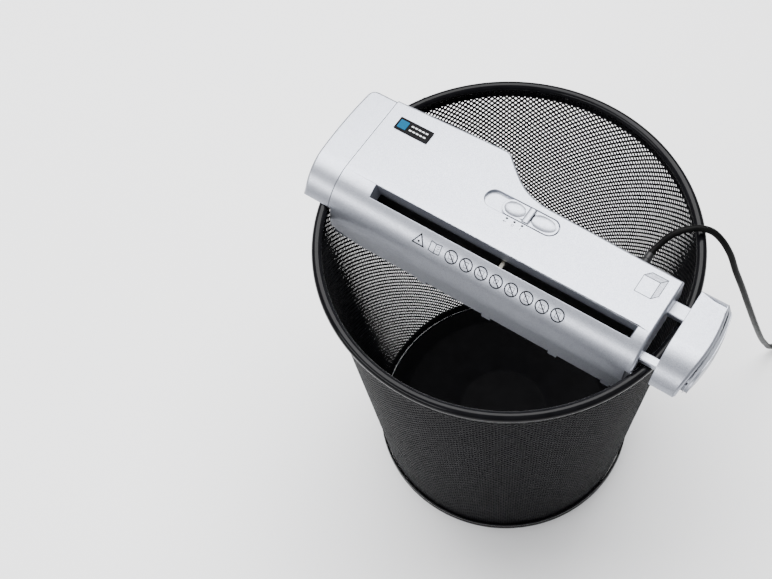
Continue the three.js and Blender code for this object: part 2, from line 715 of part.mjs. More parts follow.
add('motor_pinion', motorPinion, BRASS, head);
[AXIS_1, AXIS_2].forEach((axis, i) => {
  add(`gear_axle_${i + 1}`, rodX(-123.3, -103.7, axis.x, axis.y, AXLE_R, 10), STEEL, head);
});
const coverOutline = [[45, 299], [45, 346], [-28, 346], [-40, 338], [-46, 326], [-46, 299]].reverse();
add('gearbox_cover', alongX(coverOutline, -124.5, -123.6), BLACK_PLASTIC, head);

// ---- motor --------------------------------------------------------------------------------------

const MOTOR_LEFT = -103.2;
const MOTOR_SEAM = -48;
const onMotor = (profile, sides) => turnedX(profile, MOTOR_AXIS.x, MOTOR_AXIS.y, sides);
add('motor_can', onMotor([[3, MOTOR_LEFT], [MOTOR_R, MOTOR_LEFT], [MOTOR_R, MOTOR_SEAM],
  [16, MOTOR_SEAM], [16, MOTOR_LEFT + 1.5], [3, MOTOR_LEFT + 1.5]], 18), STEEL, head);
add('motor_end_cap', onMotor([[1.9, -47.7], [MOTOR_R, -47.7], [MOTOR_R, -44.5], [6, -44.5], [6, -41.5],
  [1.9, -41.5]], 18), BLACK_PLASTIC, head);
add('motor_armature', onMotor([[0, -122.8], [1.5, -122.8], [1.5, -96], [12.6, -96], [12.6, -57], [5, -57],
  [5, -50], [1.5, -50], [1.5, -43], [0, -43]], 12), STEEL, head);

// ---- electrics ----------------------------------------------------------------------------------

const BOARD_TOP = 335.6;
const ON_BOARD = BOARD_TOP + GAP;
add('circuit_board', block([-36, 42], [4, 20.5], [334, BOARD_TOP]), BOARD, head);
add('selector_switch', block([-10, 20], [8, 17.5], [ON_BOARD, 345]), BLACK_PLASTIC, head);
add('relay', block([-34, -15], [5.5, 19], [ON_BOARD, 348]), BLACK_PLASTIC, head);
add('capacitor', block([23, 28.5], [6, 19], [ON_BOARD, 346.5]), RED, head);
add('fuse', block([30, 33.5], [5.5, 13], [ON_BOARD, 341]), NYLON, head);
add('terminal_block', block([34.5, 41.5], [5.5, 18], [ON_BOARD, 344]), NYLON, head);

// forked light barrier: the lever's tail swings into its slot
const paperSwitch = block([LEVER_X - 6.5, LEVER_X + 6.5], [-17.6, -11.5], [328.5, 338.5])
  .cut(block([LEVER_X - 2.2, LEVER_X + 2.2], [-18, -14.5], [328, 337.4]));
add('paper_switch', paperSwitch, BLACK_PLASTIC, head);
const LEVER_PIVOT = new THREE.Vector2(-19.3, 336.6);
const leverOutline = [[-27.2, 331.6], [-19.2, 330.4], [-18.1, 331.4], [-18.1, 336.4], [-18.6, 337.6],
  [-20, 337.6], [-20.4, 336.6], [-20.4, 333], [-27, 332.8]];
const leverTrunnions = rodX(LEVER_X - 4.5, LEVER_X + 4.5, LEVER_PIVOT.x, LEVER_PIVOT.y, 0.8, 8);
add('paper_lever', alongX(leverOutline, LEVER_X - 1.4, LEVER_X + 1.4).join(leverTrunnions), NYLON, head);

// selector slider: two dished finger pads either side of a raised bar, and a stem through the roof
function selectorSlider() {
  const right = OVAL_CENTRE.x + OVAL_LENGTH / 2 - 0.6;
  const centreX = (SLIDER_LEFT + right) / 2;
  const width = OVAL_WIDTH - 1.2;
  const pad = alongZ(stadium(centreX, OVAL_CENTRE.y, right - SLIDER_LEFT, width), 350.4, TOP);
  const barHalf = width / 2 - 0.4;
  const bar = block([8.6, 13.6], [OVAL_CENTRE.y - barHalf, OVAL_CENTRE.y + barHalf], [352, TOP + 1.3]);
  const stem = block([9.6, 12.6], [OVAL_CENTRE.y - 2, OVAL_CENTRE.y + 2], [345.4, 351]);
  return pad.join(bar, stem);
}
add('selector_slider', selectorSlider(), SILVER, head);

// ---- telescopic end -----------------------------------------------------------------------------

const SIDE_DROP = 6.5; // the groove between the two parts runs this far inside the head's section

const arm = ([front, rear]) => block([ARM_INNER_END, ARM_OUTER_END], [front, rear], [ARM_BOTTOM, ARM_TOP]);

function cutArmWays(solid) {
  return [FRONT_ARM, REAR_ARM].reduce((shape, [front, rear]) => shape.cut(
    block([140, ARM_OUTER_END + GAP], [front - GAP, rear + GAP], [PARTING - 1, ARM_TOP + GAP]),
  ), solid);
}

// Roof, front and inner wall, with a strip of the outer and rear walls down to the groove.
function endCapUpper() {
  const inside = END_INNER + SHELL;
  const outer = alongX(headSection(0, PARTING), END_INNER, 190).keep(alongZ(endPlan(0, END_BACK), 300, 360));
  const hollow = alongX(headSection(SHELL, 300), inside, 190)
    .keep(alongZ(endPlan(SHELL, END_BACK), 300, 360));
  return cutArmWays(outer.cut(hollow, alongX(headSection(SIDE_DROP, 300), inside, 190)));
}

// The tray stands inside the upper part and forms the outer and rear walls below the groove.
function endCapTray() {
  const start = END_INNER + SHELL + GAP;
  const skin = SIDE_DROP + GAP;
  const outer = alongX(headSection(skin, PARTING), start, 190)
    .keep(alongZ(endPlan(-0.6, END_BACK), PARTING, 360));
  const open = block([start + SHELL, 190], [-32, 70], [336, 360]);
  const hollow = alongX(headSection(skin + SHELL, 300), start + SHELL, 190)
    .join(open)
    .keep(alongZ(endPlan(SHELL, END_BACK), PARTING + SHELL, 360));
  return cutArmWays(outer.cut(hollow));
}

add('arm_front', arm(FRONT_ARM), SILVER, head);
add('arm_rear', arm(REAR_ARM), SILVER, head);
add('end_cap_upper', endCapUpper(), SILVER, head);
add('end_cap_tray', endCapTray(), SILVER, head);

// ---- mains cord ---------------------------------------------------------------------------------

// From the strain relief over the rim, down outside the basket, along the floor to the coil.
const CORD_ROUTE = [
  [EXIT_X, RELIEF_END + 2 * GAP, EXIT_Z],
  [96.1, 50.4, 325.6],
  [97.8, 55, 327.2],
  [101, 62.5, 331.3],
  [106.3, 69.1, 335.1],
  [113.4, 74.8, 337.6],
  [119.9, 78.9, 337.7],
  [127, 82.1, 334.6],
  [134.3, 84, 327.2],
  [143.2, 85.7, 312.1],
  [150.7, 88, 289.9],
  [158.5, 93.5, 262.5],
  [168, 106.5, 214.2],
  [176.5, 131, 145],
  [180.8, 158, 82],
  [183, 176, 45],
  [185.6, 188.5, 20],
  [189.6, 198.8, 7.6],
  [195.6, 207.8, 3.5],
  [204.5, 215.5, 3.1],
  [217.5, 220.6, 3.1],
  [237.5, 221.4, 3.4],
];
// From the coil to the plug.
const TAIL_ROUTE = [
  [288.6, 161.5, 6.4],
  [289.3, 155, 4.2],
  [289.9, 148, 3],
  [290, 138, 2.9],
  [290, 126, 3.4],
  [290, 114, 5.1],
  [290, 106, 6.8],
  [PLUG_X, 100, PLUG_Z],
];
const COIL_BOTTOM = 1.2;
const COIL_TOP = 11.8;
const COIL_HALF = 8.1;

const relief = turnedY([[0, 18.4], [5.2, 18.4], [5.2, 21], [3.7, 21], [3.7, 24.6], [4.5, 24.6], [4.5, 27],
  [3, RELIEF_END], [0, RELIEF_END]], EXIT_X, EXIT_Z, 10);
add('strain_relief', relief, BLACK_PLASTIC, head);
add('mains_cord', tube(CORD_ROUTE, CORD_R, 46, 8), CORD_BLACK, head);
const coil = [
  [COIL_MEAN_R - COIL_HALF, COIL_BOTTOM],
  [COIL_MEAN_R + COIL_HALF, COIL_BOTTOM],
  [COIL_MEAN_R + COIL_HALF, 6],
  [COIL_MEAN_R + COIL_HALF - 2.7, COIL_TOP],
  [COIL_MEAN_R - COIL_HALF + 2.7, COIL_TOP],
  [COIL_MEAN_R - COIL_HALF, 6],
];
add('cord_coil', turnedZ(coil, COIL_CENTRE.x, COIL_CENTRE.y, 24), CORD_BLACK);
function coilTie() {
  const inner = COIL_MEAN_R - COIL_HALF - 3 * GAP;
  const outer = COIL_MEAN_R + COIL_HALF + GAP;
  const wrap = 0.8;
  const low = COIL_BOTTOM - GAP;
  const high = COIL_TOP + GAP;
  const { x, y } = COIL_CENTRE;
  const loop = block([x - outer - wrap, x - inner + wrap], [y - 3, y + 3], [low - wrap, high + wrap]);
  return loop.cut(block([x - outer, x - inner], [y - 4, y + 4], [low, high]));
}
add('coil_tie', coilTie(), BLACK_PLASTIC);
add('cord_tail', tube(TAIL_ROUTE, CORD_R, 10, 8), CORD_BLACK);
const sleeve = [[0, PLUG_BACK + GAP], [4.4, PLUG_BACK + GAP], [3.1, 99.7], [0, 99.7]];
add('plug_strain_relief', turnedY(sleeve, PLUG_X, PLUG_Z, 10), BLACK_PLASTIC);
const plugHalf = 17.6;
const plugSide = [[7, PLUG_BACK], [plugHalf, PLUG_BACK - 12], [plugHalf - 2.4, PLUG_FACE]];
const plugOutline = [
  ...plugSide.map(([x, y]) => [PLUG_X - x, y]),
  ...plugSide.map(([x, y]) => [PLUG_X + x, y]).reverse(),
];
add('plug_body', alongZ(plugOutline, 0.3, 14), BLACK_PLASTIC);
const PIN = [[0, PLUG_FACE - 19.3], [1.6, PLUG_FACE - 19.3], [2, PLUG_FACE - 17.5], [2, PLUG_FACE - GAP],
  [0, PLUG_FACE - GAP]];
[-9.3, 9.3].forEach((x, i) => {
  add(`plug_pin_${i + 1}`, turnedY(PIN, PLUG_X + x, PLUG_Z, 10), STEEL);
});

export default model;
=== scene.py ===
import json
import math

import bmesh
import bpy
import numpy as np
from mathutils import Matrix, Vector
from mathutils.bvhtree import BVHTree


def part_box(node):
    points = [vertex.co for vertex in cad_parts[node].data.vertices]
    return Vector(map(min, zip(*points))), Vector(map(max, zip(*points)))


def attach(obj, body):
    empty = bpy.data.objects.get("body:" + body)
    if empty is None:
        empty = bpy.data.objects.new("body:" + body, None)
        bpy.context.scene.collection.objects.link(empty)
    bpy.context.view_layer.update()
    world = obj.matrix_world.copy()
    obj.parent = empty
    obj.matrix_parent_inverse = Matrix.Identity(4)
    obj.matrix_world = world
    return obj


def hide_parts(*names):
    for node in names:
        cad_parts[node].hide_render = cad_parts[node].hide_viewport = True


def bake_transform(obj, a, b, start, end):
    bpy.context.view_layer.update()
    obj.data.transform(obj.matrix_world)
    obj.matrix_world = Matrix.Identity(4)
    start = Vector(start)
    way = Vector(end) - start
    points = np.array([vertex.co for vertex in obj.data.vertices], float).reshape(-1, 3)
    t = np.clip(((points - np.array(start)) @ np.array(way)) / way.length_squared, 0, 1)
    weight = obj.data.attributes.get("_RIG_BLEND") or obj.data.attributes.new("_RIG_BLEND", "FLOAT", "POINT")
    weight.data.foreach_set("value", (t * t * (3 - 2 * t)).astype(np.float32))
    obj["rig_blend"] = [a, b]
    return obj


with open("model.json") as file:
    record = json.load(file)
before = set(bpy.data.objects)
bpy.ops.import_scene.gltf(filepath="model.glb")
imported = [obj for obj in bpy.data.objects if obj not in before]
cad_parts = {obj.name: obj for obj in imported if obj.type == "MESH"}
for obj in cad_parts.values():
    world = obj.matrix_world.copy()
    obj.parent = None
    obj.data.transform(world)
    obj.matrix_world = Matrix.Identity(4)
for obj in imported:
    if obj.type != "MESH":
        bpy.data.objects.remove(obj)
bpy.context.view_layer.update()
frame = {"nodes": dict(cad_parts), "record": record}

# Outlines below are in millimetres, like the drawing of the real part, and each mesh is made in metres.
MM = 0.001

# --- sizes taken from the frame ---


def box_mm(node):
    low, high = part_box(node)
    return Vector(low) / MM, Vector(high) / MM


housing_low, housing_high = box_mm("upper_housing")
LEFT = housing_low.x
RIGHT = housing_high.x
TOP = housing_high.z
SEAM_Z = housing_low.z
PARTING = box_mm("left_cap")[0].z
end_low, end_high = box_mm("end_cap_upper")
END_INNER = end_low.x
END_BACK = end_high.y
TRAY_START = box_mm("end_cap_tray")[0].x
rim_low, rim_high = box_mm("basket_rim")
RIM_OUTER = 147.5
RIM_TOP = rim_high.z
SKIRT_BOTTOM = rim_low.z
RIM_TUBE = 4.0
RIM_MAJOR = RIM_OUTER - RIM_TUBE
RIM_Z = RIM_TOP - RIM_TUBE
BASE_R = 119.7
BASE_HEIGHT = box_mm("basket_base_hoop")[1].z
WALL_BOTTOM = 1.5
WALL_TOP = 322.5
WALL_R_BASE = 117.0
WALL_R_TOP = 141.4

FRONT_ARC_Y = -18.0
FRONT_ARC_R = 34.5
FRONT_ARC_Z = TOP - FRONT_ARC_R
SHELL = 2.0
MID = 332.3  # the housing is a little wider above this height than below it
LOWER_LEFT = -127.5
LOWER_RIGHT = 127.6
SIDE_DROP = 6.5  # the groove of the end piece runs this far inside the head's section
GROOVE = 0.3

# --- camera ---

CAMERA_PLACE = Vector((0.2461, -0.4133, 1.1388))
CAMERA_RIGHT = Vector((0.8229, 0.5633, -0.0743))
CAMERA_UP = Vector((-0.4673, 0.7453, 0.4755))
CAMERA_BACK = Vector((0.3232, -0.3566, 0.8766))


def make_camera():
    data = bpy.data.cameras.new("camera")
    data.sensor_width = 36.0
    data.lens = 58.24
    data.clip_start = 0.01
    data.clip_end = 50.0
    camera = bpy.data.objects.new("camera", data)
    bpy.context.scene.collection.objects.link(camera)
    turn = Matrix((CAMERA_RIGHT, CAMERA_UP, CAMERA_BACK)).transposed()
    camera.matrix_world = Matrix.Translation(CAMERA_PLACE) @ turn.to_4x4()
    bpy.context.scene.camera = camera


make_camera()

# --- mesh tools ---


def mesh_object(name, points, faces):
    """A mesh object from points in millimetres."""
    mesh = bpy.data.meshes.new(name)
    mesh.from_pydata((np.asarray(points, float) * MM).tolist(), [], faces)
    mesh.validate()
    made = bpy.data.objects.new(name, mesh)
    bpy.context.scene.collection.objects.link(made)
    return made


def outward(thing):
    """Turns all faces to point out."""
    shape = bmesh.new()
    shape.from_mesh(thing.data)
    bmesh.ops.recalc_face_normals(shape, faces=shape.faces)
    shape.to_mesh(thing.data)
    shape.free()
    return thing


def prism(name, outline, axis, low, high):
    """A closed solid: the outline drawn out along an axis. It is (y, z) for X, (x, z) for Y, (x, y) for Z."""
    place = {
        "X": lambda a, b, c: (c, a, b),
        "Y": lambda a, b, c: (a, c, b),
        "Z": lambda a, b, c: (a, b, c),
    }[axis]
    count = len(outline)
    points = [place(a, b, low) for a, b in outline] + [place(a, b, high) for a, b in outline]
    faces = [tuple(range(count)), tuple(range(count, 2 * count))]
    faces += [(i, (i + 1) % count, count + (i + 1) % count, count + i) for i in range(count)]
    return outward(mesh_object(name, points, faces))


def block(name, xs, ys, zs):
    return prism(name, [(xs[0], ys[0]), (xs[1], ys[0]), (xs[1], ys[1]), (xs[0], ys[1])], "Z", *zs)


def turned(name, profile, centre, axis="Z", steps=64, closed=False):
    """A turned solid. The profile is (radius, height) along the axis through centre; where it isn't
    closed, it starts and ends on the axis."""
    place = {
        "X": lambda r, a, h: (h, centre[1] + r * math.cos(a), centre[2] + r * math.sin(a)),
        "Y": lambda r, a, h: (centre[0] + r * math.sin(a), h, centre[2] + r * math.cos(a)),
        "Z": lambda r, a, h: (centre[0] + r * math.cos(a), centre[1] + r * math.sin(a), h),
    }[axis]
    points = []
    rings = []
    for radius, height in profile:
        if radius < 1e-6:
            rings.append([len(points)])
            points.append(place(0.0, 0.0, height))
            continue
        rings.append(list(range(len(points), len(points) + steps)))
        points += [place(radius, 2 * math.pi * i / steps, height) for i in range(steps)]
    pairs = list(zip(rings, rings[1:]))
    if closed:
        pairs.append((rings[-1], rings[0]))
    faces = []
    for one, two in pairs:
        for i in range(steps):
            j = (i + 1) % steps
            corners = [one[i % len(one)], one[j % len(one)], two[j % len(two)], two[i % len(two)]]
            face = list(dict.fromkeys(corners))
            if len(face) > 2:
                faces.append(tuple(face))
    return outward(mesh_object(name, points, faces))


def settle(thing):
    """Applies the modifiers."""
    graph = bpy.context.evaluated_depsgraph_get()
    made = bpy.data.meshes.new_from_object(thing.evaluated_get(graph))
    thing.modifiers.clear()
    thing.data = made
    return thing


def boolean(thing, operation, *others):
    for other in others:
        modifier = thing.modifiers.new("boolean", "BOOLEAN")
        modifier.operation = operation
        modifier.solver = "EXACT"
        modifier.object = other
        settle(thing)
        bpy.data.objects.remove(other)
    return thing


def cut(thing, *others):
    return boolean(thing, "DIFFERENCE", *others)


def join(thing, *others):
    return boolean(thing, "UNION", *others)


def keep(thing, *others):
    return boolean(thing, "INTERSECT", *others)


def soften(thing, width, rule=None, segments=3, angle=32.0):
    """Rounds the edges sharper than `angle`. rule(middle in mm) gives each edge's share of the width."""
    shape = bmesh.new()
    shape.from_mesh(thing.data)
    bmesh.ops.remove_doubles(shape, verts=shape.verts, dist=2e-6)
    bmesh.ops.dissolve_limit(
        shape, angle_limit=math.radians(0.4), verts=shape.verts, edges=shape.edges, delimit={"NORMAL"}
    )
    weights = shape.edges.layers.float
    weight = weights.get("bevel_weight_edge") or weights.new("bevel_weight_edge")
    for edge in shape.edges:
        if len(edge.link_faces) != 2 or edge.calc_face_angle(0.0) < math.radians(angle):
            continue
        middle = (edge.verts[0].co + edge.verts[1].co) / (2 * MM)
        edge[weight] = 1.0 if rule is None else rule(middle)
    shape.to_mesh(thing.data)
    before = BVHTree.FromBMesh(shape)
    shape.free()
    bevel = thing.modifiers.new("bevel", "BEVEL")
    bevel.width = width * MM
    bevel.segments = segments
    bevel.limit_method = "WEIGHT"
    bevel.use_clamp_overlap = False
    bevel.miter_outer = "MITER_SHARP"
    settle(thing)
    for vertex in thing.data.vertices:
        place, _, _, distance = before.find_nearest(vertex.co)
        if distance > 0.6 * width * MM:
            vertex.co = place  # a corner that the rounding threw off the solid
    return smooth(thing)


def smooth(thing, angle=38.0, weighted=True):
    """Smooth shading that keeps sharp edges. Where weighted, each face counts by its area, so that a
    large flat face stays flat up to its rounded edges."""
    mesh = thing.data
    for polygon in mesh.polygons:
        polygon.use_smooth = True
    mesh.set_sharp_from_angle(angle=math.radians(angle))
    if not weighted:
        return thing
    around = [[] for _ in mesh.vertices]
    for polygon in mesh.polygons:
        for corner in polygon.vertices:
            around[corner].append(polygon)
    limit = math.cos(math.radians(angle))
    made = []
    for polygon in mesh.polygons:
        own = polygon.normal
        for corner in polygon.vertices:
            total = Vector((0.0, 0.0, 0.0))
            for near in around[corner]:
                if near.normal.dot(own) > limit:
                    total += near.normal * near.area
            made.append(total.normalized() if total.length > 0 else own.copy())
    mesh.normals_split_custom_set(made)
    return thing


def arc(cx, cy, radius, start, end, steps):
    """Points on an arc, in degrees."""
    angles = [math.radians(start + (end - start) * i / steps) for i in range(steps + 1)]
    return [(cx + radius * math.cos(a), cy + radius * math.sin(a)) for a in angles]


def stadium(cx, cy, length, width, steps=24):
    half = (length - width) / 2
    return arc(cx + half, cy, width / 2, -90, 90, steps) + arc(cx - half, cy, width / 2, 90, 270, steps)


def between(one, two, t0, t1, t):
    return (t1 - t) / (t1 - t0) * one + (t - t0) / (t1 - t0) * two


def smooth_path(points, spacing, closed=False):
    """A centripetal Catmull-Rom curve through the points, cut into even steps."""
    points = np.asarray(points, float)
    if closed:
        extended = np.vstack([points[-1], points, points[0], points[1]])
    else:
        extended = np.vstack([2 * points[0] - points[1], points, 2 * points[-1] - points[-2]])
    fine = []
    for p0, p1, p2, p3 in zip(extended, extended[1:], extended[2:], extended[3:]):
        t0 = 0.0
        t1 = t0 + np.linalg.norm(p1 - p0) ** 0.5
        t2 = t1 + np.linalg.norm(p2 - p1) ** 0.5
        t3 = t2 + np.linalg.norm(p3 - p2) ** 0.5
        for t in np.linspace(t1, t2, 24, endpoint=False):
            a1 = between(p0, p1, t0, t1, t)
            a2 = between(p1, p2, t1, t2, t)
            a3 = between(p2, p3, t2, t3, t)
            b1 = between(a1, a2, t0, t2, t)
            b2 = between(a2, a3, t1, t3, t)
            fine.append(between(b1, b2, t1, t2, t))
    fine.append(points[0] if closed else points[-1])
    fine = np.array(fine)
    along = np.concatenate([[0], np.cumsum(np.linalg.norm(np.diff(fine, axis=0), axis=1))])
    count = max(4, int(round(along[-1] / spacing)))
    wanted = np.linspace(0, along[-1], count + 1)
    return np.column_stack([np.interp(wanted, along, fine[:, k]) for k in range(3)])


def tube(name, path, radius, sides=12):
    """A round tube with closed ends along a path in millimetres."""
    path = np.asarray(path, float)
    tangents = np.gradient(path, axis=0)
    tangents /= np.linalg.norm(tangents, axis=1)[:, None]
    normal = np.cross(tangents[0], [0.0, 0.0, 1.0])
    if np.linalg.norm(normal) < 1e-6:
        normal = np.array([1.0, 0.0, 0.0])
    points = []
    for place, tangent in zip(path, tangents):
        normal = normal - tangent * np.dot(normal, tangent)
        normal /= np.linalg.norm(normal)
        side = np.cross(tangent, normal)
        for i in range(sides):
            angle = 2 * math.pi * i / sides
            points.append(place + radius * (math.cos(angle) * normal + math.sin(angle) * side))
    faces = [tuple(range(sides)), tuple(range(len(points) - sides, len(points)))]
    for ring in range(len(path) - 1):
        for i in range(sides):
            j = (i + 1) % sides
            a = ring * sides
            faces.append((a + i, a + j, a + sides + j, a + sides + i))
    return outward(mesh_object(name, points, faces))


# --- materials ---


class Paint:
    """A node material: a Principled shader with helpers for noise, ramps and bump."""

    def __init__(self, name, metallic=0.0, specular=0.5, coat=0.0, coat_roughness=0.1):
        self.material = bpy.data.materials.new(name)
        self.material.use_nodes = True
        self.tree = self.material.node_tree
        self.shader = self.tree.nodes["Principled BSDF"]
        looks = {"Metallic": metallic, "Specular IOR Level": specular}
        self.feed(self.shader, {**looks, "Coat Weight": coat, "Coat Roughness": coat_roughness})
        self.coordinates = self.tree.nodes.new("ShaderNodeTexCoord").outputs["Object"]

    def feed(self, node, inputs):
        """Gives each named input its value, or links it to another node's output."""
        for name, value in inputs.items():
            if isinstance(value, bpy.types.NodeSocket):
                self.tree.links.new(value, node.inputs[name])
            else:
                node.inputs[name].default_value = value

    def node(self, kind, inputs=None, **values):
        made = self.tree.nodes.new(kind)
        for key, value in values.items():
            setattr(made, key, value)
        self.feed(made, inputs or {})
        return made

    def stretched(self, scale):
        return self.node("ShaderNodeMapping", {"Scale": scale, "Vector": self.coordinates}).outputs["Vector"]

    def noise(self, scale, detail=3.0, rough=0.55, vector=None):
        inputs = {"Scale": scale, "Detail": detail, "Roughness": rough}
        inputs["Vector"] = vector or self.coordinates
        return self.node("ShaderNodeTexNoise", inputs).outputs["Fac"]

    def ramp(self, factor, *stops):
        """Colors by position; each stop is (position, color)."""
        made = self.node("ShaderNodeValToRGB", {"Fac": factor})
        for element, (position, color) in zip(made.color_ramp.elements, stops, strict=True):
            element.position = position
            element.color = (*color, 1.0)
        return made.outputs["Color"]

    def spread(self, factor, low, high):
        """Spreads the usual range of a noise over low to high."""
        inputs = {"Value": factor, "From Min": 0.3, "From Max": 0.7, "To Min": low, "To Max": high}
        return self.node("ShaderNodeMapRange", inputs).outputs["Result"]

    def surface(self, color, rough, *layers):
        """Feeds the shader. Bump layers are (height output, strength, distance in mm)."""
        normal = {}
        for height, strength, distance in layers:
            inputs = {"Strength": strength, "Distance": distance * MM, "Height": height, **normal}
            normal = {"Normal": self.node("ShaderNodeBump", inputs).outputs["Normal"]}
        self.feed(self.shader, {"Base Color": color, "Roughness": rough, **normal})
        return self.material


def silver_paint():
    """Satin silver lacquer on moulded plastic: fine flake and a faint grain."""
    paint = Paint("silver_paint", metallic=0.8, specular=0.4, coat=0.08, coat_roughness=0.25)
    flakes = paint.node("ShaderNodeTexVoronoi", {"Scale": 5200.0, "Vector": paint.coordinates})
    parted = paint.node("ShaderNodeSeparateColor", {"Color": flakes.outputs["Color"]})
    fleck = parted.outputs["Red"]
    shade = paint.ramp(fleck, (0.1, (0.24, 0.253, 0.295)), (0.9, (0.43, 0.447, 0.495)))
    drift = paint.ramp(paint.noise(14.0, 2.0), (0.3, (0.96, 0.96, 0.965)), (0.7, (1.0, 1.0, 1.0)))
    factors = {"Factor": 1.0, "A": shade, "B": drift}
    product = paint.node("ShaderNodeMix", factors, data_type="RGBA", blend_type="MULTIPLY")
    rough = paint.spread(paint.noise(900.0, 3.0), 0.30, 0.40)
    grain = paint.noise(1500.0, 2.0)
    return paint.surface(product.outputs["Result"], rough, (grain, 0.12, 0.05), (fleck, 0.05, 0.03))


def machined_steel(name, stretch=(6.0, 400.0, 400.0), low=(0.36, 0.37, 0.38), high=(0.52, 0.53, 0.54)):
    """Turned or rolled steel: fine marks along one direction and a thin film of oil."""
    paint = Paint(name, metallic=1.0)
    marks = paint.noise(9.0, 6.0, 0.7, vector=paint.stretched(stretch))
    rough = paint.spread(paint.noise(70.0, 4.0), 0.26, 0.42)
    return paint.surface(paint.ramp(marks, (0.3, low), (0.7, high)), rough, (marks, 0.12, 0.05))


def mottled(name, tint, rough, bump=None, **looks):
    """A material from noises, each given as (scale, detail). tint is (noise, stop, stop), rough is
    (noise, low, high) and bump is (noise, strength, distance in mm)."""
    paint = Paint(name, **looks)
    color = paint.ramp(paint.noise(*tint[0]), *tint[1:])
    layers = [(paint.noise(*bump[0]), *bump[1:])] if bump else []
    return paint.surface(color, paint.spread(paint.noise(*rough[0]), *rough[1:]), *layers)


def black_enamel(name, specular, rough):
    """Black stoving enamel on steel, with a slight orange peel."""
    tint = ((60.0, 4.0), (0.3, (0.0025, 0.0025, 0.003)), (0.75, (0.005, 0.005, 0.006)))
    return mottled(name, tint, ((240.0, 3.0), *rough), ((900.0, 2.0), 0.04, 0.03), specular=specular)


def grained_plastic(name, low, high, rough=(0.42, 0.55), grain=1400.0, strength=0.2, specular=0.3):
    """Moulded plastic with a spark-eroded grain."""
    tint = ((90.0, 4.0), (0.3, low), (0.72, high))
    bump = ((grain, 3.0), strength, 0.06)
    return mottled(name, tint, ((grain * 0.5, 3.0), *rough), bump, specular=specular)


def printed_ink(name, color):
    """Pad-printed ink, slightly uneven."""
    thin = tuple(min(1.0, c * 1.4 + 0.002) for c in color)
    tint = ((1800.0, 2.0), (0.35, color), (0.85, thin))
    return mottled(name, tint, ((600.0, 2.0), 0.45, 0.6), ((2400.0, 2.0), 0.08, 0.02), specular=0.05)


LOOKS = {
    "silver_plastic": silver_paint(),
    "black_steel": black_enamel("black_enamel", 0.09, (0.1, 0.16)),
    "black_plastic": grained_plastic("black_plastic", (0.005, 0.005, 0.006), (0.010, 0.010, 0.011)),
    "nylon": grained_plastic("nylon", (0.62, 0.60, 0.52), (0.74, 0.71, 0.63), (0.4, 0.5), 500.0, 0.1),
    "steel": machined_steel("steel_plate", (60.0, 60.0, 8.0), (0.40, 0.41, 0.42), (0.55, 0.56, 0.57)),
    "bronze": machined_steel("bronze", (200.0, 200.0, 200.0), (0.42, 0.25, 0.10), (0.60, 0.38, 0.17)),
    "board": mottled(
        "board_laminate",
        ((900.0, 2.0), (0.35, (0.008, 0.06, 0.022)), (0.7, (0.018, 0.11, 0.04))),
        ((120.0, 3.0), 0.3, 0.45),
        ((900.0, 2.0), 0.15, 0.04),
        coat=0.3,
        coat_roughness=0.2,
    ),
    "cord": mottled(
        "cord_sheath",
        ((40.0, 4.0), (0.3, (0.003, 0.003, 0.003)), (0.75, (0.007, 0.007, 0.007))),
        ((300.0, 3.0), 0.32, 0.42),
        ((700.0, 3.0), 0.10, 0.06),
        specular=0.03,
    ),
    "red_film": grained_plastic("red_film", (0.30, 0.02, 0.015), (0.42, 0.04, 0.03), (0.2, 0.3), 300.0, 0.05),
}
MESH_ENAMEL = black_enamel("mesh_enamel", 0.03, (0.46, 0.56))  # less glossy, for the wall and the floor pan
BADGE_BLACK = grained_plastic(
    "badge_black", (0.002, 0.002, 0.002), (0.004, 0.004, 0.005), (0.3, 0.4), 500.0, 0.05, specular=0.03
)
STEEL_ALONG = machined_steel("steel_along")
INK = printed_ink("printed_ink", (0.006, 0.006, 0.007))
INK_GREY = printed_ink("printed_ink_grey", (0.06, 0.06, 0.065))
INK_WHITE = printed_ink("printed_ink_white", (0.62, 0.63, 0.65))
INK_BLUE = printed_ink("printed_ink_blue", (0.0, 0.06, 0.13))


def piece(thing, body, slot, *nodes, look=None):
    """Gives a piece its body and the slot's material or `look`, and hides the CAD nodes it stands for."""
    thing.data.materials.clear()
    thing.data.materials.append(look or LOOKS[slot])
    if nodes:
        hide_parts(*nodes)
    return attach(thing, body)


# --- mains cord ---

CORD_DIAMETER = 0.0052
CORD_EXIT = (0.0958, 0.0466, 0.325)
# over the rim, down outside the basket, along the floor to the coil
CORD_ROUTE = [
    CORD_EXIT, (0.0961, 0.0504, 0.3256), (0.0978, 0.055, 0.3272), (0.101, 0.0625, 0.3313),
    (0.1063, 0.0691, 0.3351), (0.1134, 0.0748, 0.3376), (0.1199, 0.0789, 0.3377), (0.127, 0.0821, 0.3346),
    (0.1343, 0.084, 0.3272), (0.1432, 0.0857, 0.3121), (0.1507, 0.088, 0.2899), (0.1585, 0.0935, 0.2625),
    (0.168, 0.1065, 0.2142), (0.1765, 0.131, 0.145), (0.1808, 0.158, 0.082), (0.183, 0.176, 0.045),
    (0.1856, 0.1885, 0.02), (0.1896, 0.1988, 0.0076), (0.1956, 0.2078, 0.0035), (0.2045, 0.2155, 0.0031),
    (0.2175, 0.2206, 0.0031), (0.2375, 0.2214, 0.0034),
]
